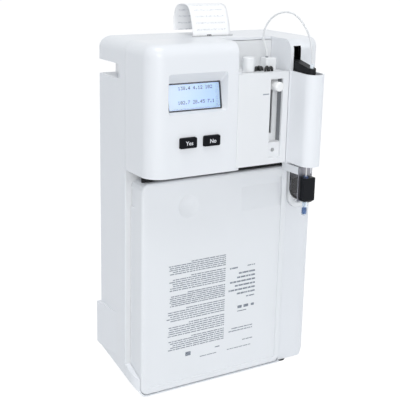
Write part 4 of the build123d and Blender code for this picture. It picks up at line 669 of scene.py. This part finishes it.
link(groove.outputs["Normal"], shader.inputs["Normal"])
dress(thread, "lead_screw")
dress(plain_finish("blackened sheet", (0.03, 0.031, 0.033), 0.45, metallic=0.6), "sampler_frame")
motor, nodes, link, shader = new_material("motor")
plates = nodes.new("ShaderNodeTexWave")
plates.bands_direction = "Z"
plates.inputs["Scale"].default_value = 260.0
link(object_place(nodes), plates.inputs["Vector"])
tone = mixed(nodes, link, plates.outputs["Fac"], (0.03, 0.03, 0.033), (0.09, 0.09, 0.10))
add_uneven(shader, nodes, link, tone, 0.4)
shader.inputs["Metallic"].default_value = 0.5
dress(motor, "sampler_motor", "pump_motor")

# Wiper
# A bent steel leaf holds a black block, and in the block sits a clear sleeve with blue rubber lips
# that wipe the probe as it rises. The sleeve's collar is tinted a darker blue.
COLLAR_FOOT = 0.2470
leaf_steel = plain_finish("leaf steel", (0.30, 0.30, 0.33), 0.34, metallic=0.9, shade=0.05)
dress(leaf_steel, "wiper_bracket")
dress(plain_finish("wiper black", (0.0045, 0.0058, 0.0085), 0.40, specular=0.14), "wiper_block")
sleeve, nodes, link, shader = new_material("wiper sleeve")
tone = two_tones(nodes, link, COLLAR_FOOT, (0.84, 0.91, 0.98), (0.10, 0.20, 0.42))[0]
shader.inputs["Transmission Weight"].default_value = 1.0
add_uneven(shader, nodes, link, tone, 0.08, shade=0.03, spread=0.05, depth=0.000004)
dress(sleeve, "wiper_sleeve")
dress(plain_finish("blue rubber", (0.12, 0.28, 0.62), 0.5, shade=0.1), "wiper_seal")

# Pump
# A white cup under a smoked window. The rotor is black, its rollers white, and the silicone hose
# shows through the window.
dress(module_white, "pump_housing")
smoked = clear_finish("smoked window", (0.41, 0.41, 0.45), 0.05)
dress(smoked, "pump_cover")
dress(plain_finish("rotor black", (0.02, 0.021, 0.024), 0.4), "pump_rotor")
roller_white = plain_finish("roller white", (0.72, 0.73, 0.74), 0.3)
dress(roller_white, "pump_roller_1", "pump_roller_2", "pump_roller_3")
dress(plain_finish("silicone hose", (0.80, 0.80, 0.77), 0.42), "pump_hose")

# Solution pack
# The pack's front is a white moulding. Behind it a carton holds the pouches, and the connector's
# nipples meet the valve block.
pack_white = plain_finish("pack white", (0.80, 0.815, 0.835), 0.34, spread=0.03)
dress(pack_white, "pack_front")
board_brown, nodes, link, shader = new_material("carton board")
flutes = nodes.new("ShaderNodeTexWave")
flutes.bands_direction = "X"
flutes.inputs["Scale"].default_value = 90.0
flutes.inputs["Distortion"].default_value = 0.4
link(object_place(nodes), flutes.inputs["Vector"])
tone = mixed(nodes, link, flutes.outputs["Fac"], (0.40, 0.27, 0.15), (0.46, 0.32, 0.19))
add_uneven(shader, nodes, link, tone, 0.8, shade=0.1, slow=60.0)
dress(board_brown, "pack_box")
pouch_film = plain_finish("pouch film", (0.66, 0.70, 0.74), 0.22, shade=0.1, slow=40.0, coat=0.3)
dress(pouch_film, "fluid_pouches")
dress(plain_finish("connector grey", (0.20, 0.21, 0.23), 0.45), "pack_connector", "roll_spindle")
dress(plain_finish("valve block grey", (0.55, 0.60, 0.63), 0.25), "valve_block")

# Pack label
# Print on the pack's sunk panel: six blocks of small type set to the right margin, and bold lines
# beside them. Each word is a thin bar of ink.
PANEL_FACE = -0.0112
TEXT_RIGHT = -5.6
TEXT_BLOCKS = (  # top and foot of each block, in millimetres as the lines and words are
    (152.5, 139.7), (136.3, 120.5), (116.8, 102.0), (98.3, 84.3), (80.3, 66.3), (63.0, 49.4))
BLOCK_LEFT = (-80.5, -80.2, -81.3, -82.6, -82.3, -82.1)
LINE_PITCH = 2.35
LETTER_HEIGHT = 1.1
SHORTEST_WORD = 1.4
LONGEST_WORD = 9.0
WORD_GAP = 0.75
LEAST_ROOM = 1.6        # a shorter rest of a line stays blank
FIRST_INDENT = (24, 40)
RAGGED = (0, 6)
SIDE_LINES = (  # left end, right end, height of the line's foot and its own height
    (13.0, 35.4, 125.6, 2.0), (10.6, 35.6, 120.6, 2.0), (1.0, 35.8, 115.6, 2.0),
    (8.0, 35.9, 110.7, 2.0), (-0.6, 36.0, 105.7, 2.0), (11.0, 36.1, 100.7, 2.0),
    (24.2, 35.6, 95.8, 1.4), (0.4, 11.2, 133.0, 1.8), (23.0, 35.2, 133.6, 1.2),
    (3.0, 34.3, 58.4, 1.2), (0.2, 34.5, 55.2, 1.2), (20.6, 35.1, 41.8, 1.0),
    (-0.3, 32.7, 33.6, 0.9), (-38.9, -15.2, 33.4, 0.9), (-17.2, -10.9, 40.6, 1.2))
PLAIN_MARKS = (  # left, right, foot and top of the marks that are no words
    (-57.1, -50.0, 38.6, 43.5), (12.5, 18.5, 83.2, 86.6), (21.0, 27.6, 83.2, 86.6),
    (31.4, 35.6, 83.4, 86.4), (12.3, 25.0, 79.2, 80.2))


def words_of_line(left, right, random):
    """Ends of the words that fill a line from right to left, with a gap after each."""
    end = right
    while end - left > LEAST_ROOM:
        start = max(end - random.uniform(SHORTEST_WORD, LONGEST_WORD), left)
        yield start, end
        end = start - WORD_GAP


def label_bars():
    """Left, right, foot and top of each word's bar. A block's first line is short."""
    random = np.random.default_rng(8)
    for (top, foot), left in zip(TEXT_BLOCKS, BLOCK_LEFT):
        count = int((top - foot) / LINE_PITCH)
        for line in range(count + 1):
            low = top - LETTER_HEIGHT - line * (top - foot - LETTER_HEIGHT) / count
            indent = random.uniform(*(FIRST_INDENT if line == 0 else RAGGED))
            for start, end in words_of_line(left + indent, TEXT_RIGHT, random):
                yield start, end, low, low + LETTER_HEIGHT
    for left, right, low, height in SIDE_LINES:
        for start, end in words_of_line(left, right, random):
            yield start, end, low, low + height
    yield from PLAIN_MARKS


bars = np.array(list(label_bars())) / 1000
bar_lows = np.column_stack((bars[:, 0], np.full(len(bars), PANEL_FACE - INK_T), bars[:, 2]))
bar_highs = np.column_stack((bars[:, 1], np.full(len(bars), PANEL_FACE), bars[:, 3]))
label_print = box_piece("label_print", bar_lows, bar_highs)
label_ink, nodes, link, shader = new_material("label ink")
strokes = nodes.new("ShaderNodeTexNoise")
strokes.inputs["Scale"].default_value = 1500.0
link(object_place(nodes), strokes.inputs["Vector"])
ink = nodes.new("ShaderNodeValToRGB")
ink.color_ramp.elements[0].position = 0.42
ink.color_ramp.elements[0].color = (0.07, 0.09, 0.12, 1)
ink.color_ramp.elements[1].position = 0.58
ink.color_ramp.elements[1].color = (0.38, 0.41, 0.46, 1)
link(strokes.outputs["Fac"], ink.inputs["Fac"])
add_uneven(shader, nodes, link, ink.outputs["Color"], 0.5)
label_print.data.materials.append(label_ink)
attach(label_print, "pack")

# Printer
# Black frame, black rubber platen, paper roll on a grey spindle, and the steel tear bar in the
# slot. The roll's ends show the rings of the wound strip.
dress(plain_finish("printer black", (0.02, 0.02, 0.022), 0.45), "printer_frame")
dress(plain_finish("platen rubber", (0.028, 0.028, 0.03), 0.6, shade=0.1), "platen_roller")
ROLL_MIDDLE = (0.0, 0.0440, 0.351)
paper_side, nodes, link, shader = new_material("wound paper")
rings = nodes.new("ShaderNodeTexWave")
rings.wave_type = "RINGS"
rings.rings_direction = "X"
rings.inputs["Scale"].default_value = 700.0
link(vectors(nodes, link, "SUBTRACT", object_place(nodes), ROLL_MIDDLE)[0], rings.inputs["Vector"])
tone = mixed(nodes, link, rings.outputs["Fac"], (0.74, 0.74, 0.73), (0.84, 0.84, 0.83))
add_uneven(shader, nodes, link, tone, 0.7)
dress(paper_side, "paper_roll")
dress(pin_steel, "tear_bar")

# Receipt
# Thermal paper that rises from the roll through the slot and curls over to the back. Its side view
# is a quadratic spline, carried straight across. Faint lines of print cross it.
PAPER_LEFT = -36.5
PAPER_RIGHT = 11.5
PAPER_T = 0.00012
PAPER_COLUMNS = 13
PAPER_KNOTS = np.array((
    (24.7, 351.0), (24.7, 352.0), (19.2, 371.0), (19.2, 390.0), (19.2, 398.5), (25.0, 417.0),
    (31.5, 427.4), (51.5, 427.4), (59.3, 420.0), (61.3, 409.0), (60.7, 397.6), (60.7, 397.5)))
ROW_STEP = 0.15         # between rows of print, in widths of the paper, as the next two are
ROW_HALF = 0.016
PAGE_MARGIN = 0.12
MARK_LOW = (-0.0189, 0.01906, 0.3943)
MARK_HIGH = (-0.0133, 0.01912, 0.3960)
INK_LEVEL = 0.52        # the paper is printed where the noise is above it


def spline_side(knots, steps):
    """Quadratic spline: half of (1-t)^2 P0 + (1 + 2t - 2t^2) P1 + t^2 P2 over each three points."""
    t = np.linspace(0, 1, steps, endpoint=False)[None, :, None]
    first, second, third = knots[:-2, None], knots[1:-1, None], knots[2:, None]
    points = (first * (1 - t) ** 2 + second * (1 + 2 * t - 2 * t * t) + third * t * t) / 2
    return points.reshape(-1, 2)


side = spline_side(PAPER_KNOTS, steps=12)
breadth = np.linspace(PAPER_LEFT, PAPER_RIGHT, PAPER_COLUMNS)
sheet_axes = np.broadcast_arrays(breadth[None], side[:, :1], side[:, 1:])
sheet_points = np.stack(sheet_axes, axis=-1) / 1000
paper = new_piece("receipt", sheet_points, grid_faces(len(side), len(breadth), False)[:, ::-1])
wall = paper.modifiers.new("thickness", "SOLIDIFY")
wall.thickness = PAPER_T
wall.offset = 0.0
reach = np.concatenate(([0.0], np.cumsum(np.linalg.norm(np.diff(side, axis=0), axis=1))))
unwrap = paper.data.uv_layers.new(name="unrolled")
loops = np.empty(len(paper.data.loops), dtype=int)
paper.data.loops.foreach_get("vertex_index", loops)
flat = np.stack((np.tile(breadth - PAPER_LEFT, len(side)), np.repeat(reach, len(breadth))), axis=-1)
unwrap.data.foreach_set("uv", (flat[loops] / (PAPER_RIGHT - PAPER_LEFT)).ravel())
receipt, nodes, link, shader = new_material("thermal paper")
unrolled = nodes.new("ShaderNodeUVMap")
unrolled.uv_map = "unrolled"
letters = nodes.new("ShaderNodeTexNoise")
letters.inputs["Scale"].default_value = 38.0
letters.inputs["Detail"].default_value = 1.0
link(unrolled.outputs["UV"], letters.inputs["Vector"])
split = nodes.new("ShaderNodeSeparateXYZ")
link(unrolled.outputs["UV"], split.inputs[0])
from_row = maths(nodes, link, "PINGPONG", split.outputs["Y"], ROW_STEP / 2)
in_row = maths(nodes, link, "LESS_THAN", from_row, ROW_HALF)
from_edge = maths(nodes, link, "PINGPONG", split.outputs["X"], 0.5)
in_margins = maths(nodes, link, "GREATER_THAN", from_edge, PAGE_MARGIN)
dark = maths(nodes, link, "GREATER_THAN", letters.outputs["Fac"], INK_LEVEL)
printed = maths(nodes, link, "MULTIPLY", maths(nodes, link, "MULTIPLY", in_row, in_margins), dark)
tone = mixed(nodes, link, printed, (0.93, 0.93, 0.935), (0.60, 0.61, 0.64))
add_uneven(shader, nodes, link, tone, 0.55, fine=4000.0, depth=0.00001)
paper.data.materials.append(receipt)
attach(paper, "analyzer")
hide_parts("receipt_paper")
mark = box_piece("receipt_mark", MARK_LOW, MARK_HIGH)
mark.data.materials.append(plain_finish("thermal print", (0.03, 0.03, 0.04), 0.5))
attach(mark, "analyzer")

# Mains inlet and switch
# A black appliance inlet with three plated blades, and a rocker above it. The marks for on and off,
# a stroke and a ring, are printed in white on the rocker's two halves.
BLADES = {"X": (0.0770, 0.0940), "Y": (0.0660, 0.0760), "Z": (0.0555, 0.0645)}
STROKE = {"X": (0.0903, 0.0909), "Z": (0.0904, 0.0936)}
RING_MIDDLE = (0.0804, 0.0, 0.0920)
RING_RADIUS = 0.0015
STROKE_HALF = 0.0003
inlet, nodes, link, shader = new_material("inlet black")
plated = within(nodes, link, BLADES)
link(plated, shader.inputs["Metallic"])
tone = mixed(nodes, link, plated, (0.018, 0.018, 0.020), (0.60, 0.59, 0.56))
add_uneven(shader, nodes, link, tone, 0.42)
dress(inlet, "power_inlet")
rocker, nodes, link, shader = new_material("rocker black")
level = vectors(nodes, link, "MULTIPLY", object_place(nodes), (1, 0, 1))[0]
away = vectors(nodes, link, "DISTANCE", level, RING_MIDDLE)["Value"]
ring = maths(nodes, link, "COMPARE", away, RING_RADIUS, STROKE_HALF)
marks = maths(nodes, link, "MAXIMUM", ring, within(nodes, link, STROKE))
tone = mixed(nodes, link, marks, (0.014, 0.014, 0.016), (0.72, 0.72, 0.72))
add_uneven(shader, nodes, link, tone, 0.25)
dress(rocker, "switch_rocker")

# Power supply
# A closed supply that is bought in, in a case folded from galvanised sheet with rows of punched
# holes. It is fixed to the back of the chassis.
HOLE_RADIUS = 0.28      # as a share of the distance between holes
supply, nodes, link, shader = new_material("punched steel")
holes = nodes.new("ShaderNodeTexVoronoi")
holes.inputs["Scale"].default_value = 140.0
holes.inputs["Randomness"].default_value = 0.0
link(object_place(nodes), holes.inputs["Vector"])
punched = maths(nodes, link, "LESS_THAN", holes.outputs["Distance"], HOLE_RADIUS)
tone = mixed(nodes, link, punched, (0.55, 0.56, 0.57), (0.03, 0.03, 0.03))
add_uneven(shader, nodes, link, tone, 0.4)
shader.inputs["Metallic"].default_value = 0.8
dress(supply, "power_supply")

# Floor and light
# A wide pale floor under an even sky, one large soft lamp from the front left, a weaker one from
# the right and one from above. Rays from the lens, off gloss and through glass see both white.
FLOOR_HALF = 12.0
FLOOR_HEIGHT = -0.0002
FLOOR_CORNERS = ((-1, -1), (1, -1), (1, 1), (-1, 1))
FLOOR_GLOW = 0.75       # how much of the floor is white glow for those rays
LAMP_AIM = Vector((0, 0, 0.2))
floor_points = [(x * FLOOR_HALF, y * FLOOR_HALF, FLOOR_HEIGHT) for x, y in FLOOR_CORNERS]
floor = new_piece("floor", floor_points, [(0, 1, 2, 3)])


def straight_ray(nodes, link):
    """1 for rays from the lens, off gloss and through glass, 0 for light on matt surfaces."""
    paths = nodes.new("ShaderNodeLightPath")
    total = paths.outputs["Is Camera Ray"]
    for kind in ("Is Glossy Ray", "Is Transmission Ray"):
        total = maths(nodes, link, "MAXIMUM", total, paths.outputs[kind])
    return total


ground, nodes, link, shader = new_material("floor")
shader.inputs["Base Color"].default_value = (0.86, 0.86, 0.87, 1)
shader.inputs["Roughness"].default_value = 0.9
shader.inputs["Specular IOR Level"].default_value = 0.0
share = maths(nodes, link, "MULTIPLY", straight_ray(nodes, link), FLOOR_GLOW)
glow = nodes.new("ShaderNodeEmission")
glow.inputs["Color"].default_value = (1, 1, 1, 1)
glow.inputs["Strength"].default_value = 1.22
blend = nodes.new("ShaderNodeMixShader")
link(share, blend.inputs["Fac"])
link(shader.outputs[0], blend.inputs[1])
link(glow.outputs[0], blend.inputs[2])
link(blend.outputs[0], nodes["Material Output"].inputs["Surface"])
floor.data.materials.append(ground)

world = bpy.data.worlds.new("studio")
world.use_nodes = True
bpy.context.scene.world = world
nodes, link = world.node_tree.nodes, world.node_tree.links.new
even, white = nodes["Background"], nodes.new("ShaderNodeBackground")
even.inputs["Color"].default_value = (0.90, 0.95, 1.0, 1)
even.inputs["Strength"].default_value = 0.57
white.inputs["Color"].default_value = (1, 1, 1, 1)
white.inputs["Strength"].default_value = 1.0
blend = nodes.new("ShaderNodeMixShader")
link(straight_ray(nodes, link), blend.inputs["Fac"])
link(even.outputs[0], blend.inputs[1])
link(white.outputs[0], blend.inputs[2])
link(blend.outputs[0], nodes["World Output"].inputs["Surface"])
bpy.context.scene.view_settings.view_transform = "Standard"

LAMPS = {  # place, size, power and colour
    "front lamp": ((-1.1, -2.1, 0.75), 1.0, 17.0, (1.0, 0.995, 0.985)),
    "right lamp": ((2.0, -0.6, 1.0), 1.4, 6.0, (0.90, 0.95, 1.0)),
    "top lamp": ((-0.4, -0.5, 2.2), 1.0, 14.0, (1.0, 1.0, 1.0)),
}
for name, (spot, size, power, colour) in LAMPS.items():
    light = bpy.data.lights.new(name, "AREA")
    light.shape = "DISK"
    light.size = size
    light.energy = power
    light.color = colour
    lamp = bpy.data.objects.new(name, light)
    lamp.location = spot
    lamp.rotation_euler = (LAMP_AIM - Vector(spot)).to_track_quat("-Z", "Y").to_euler()
    bpy.context.collection.objects.link(lamp)
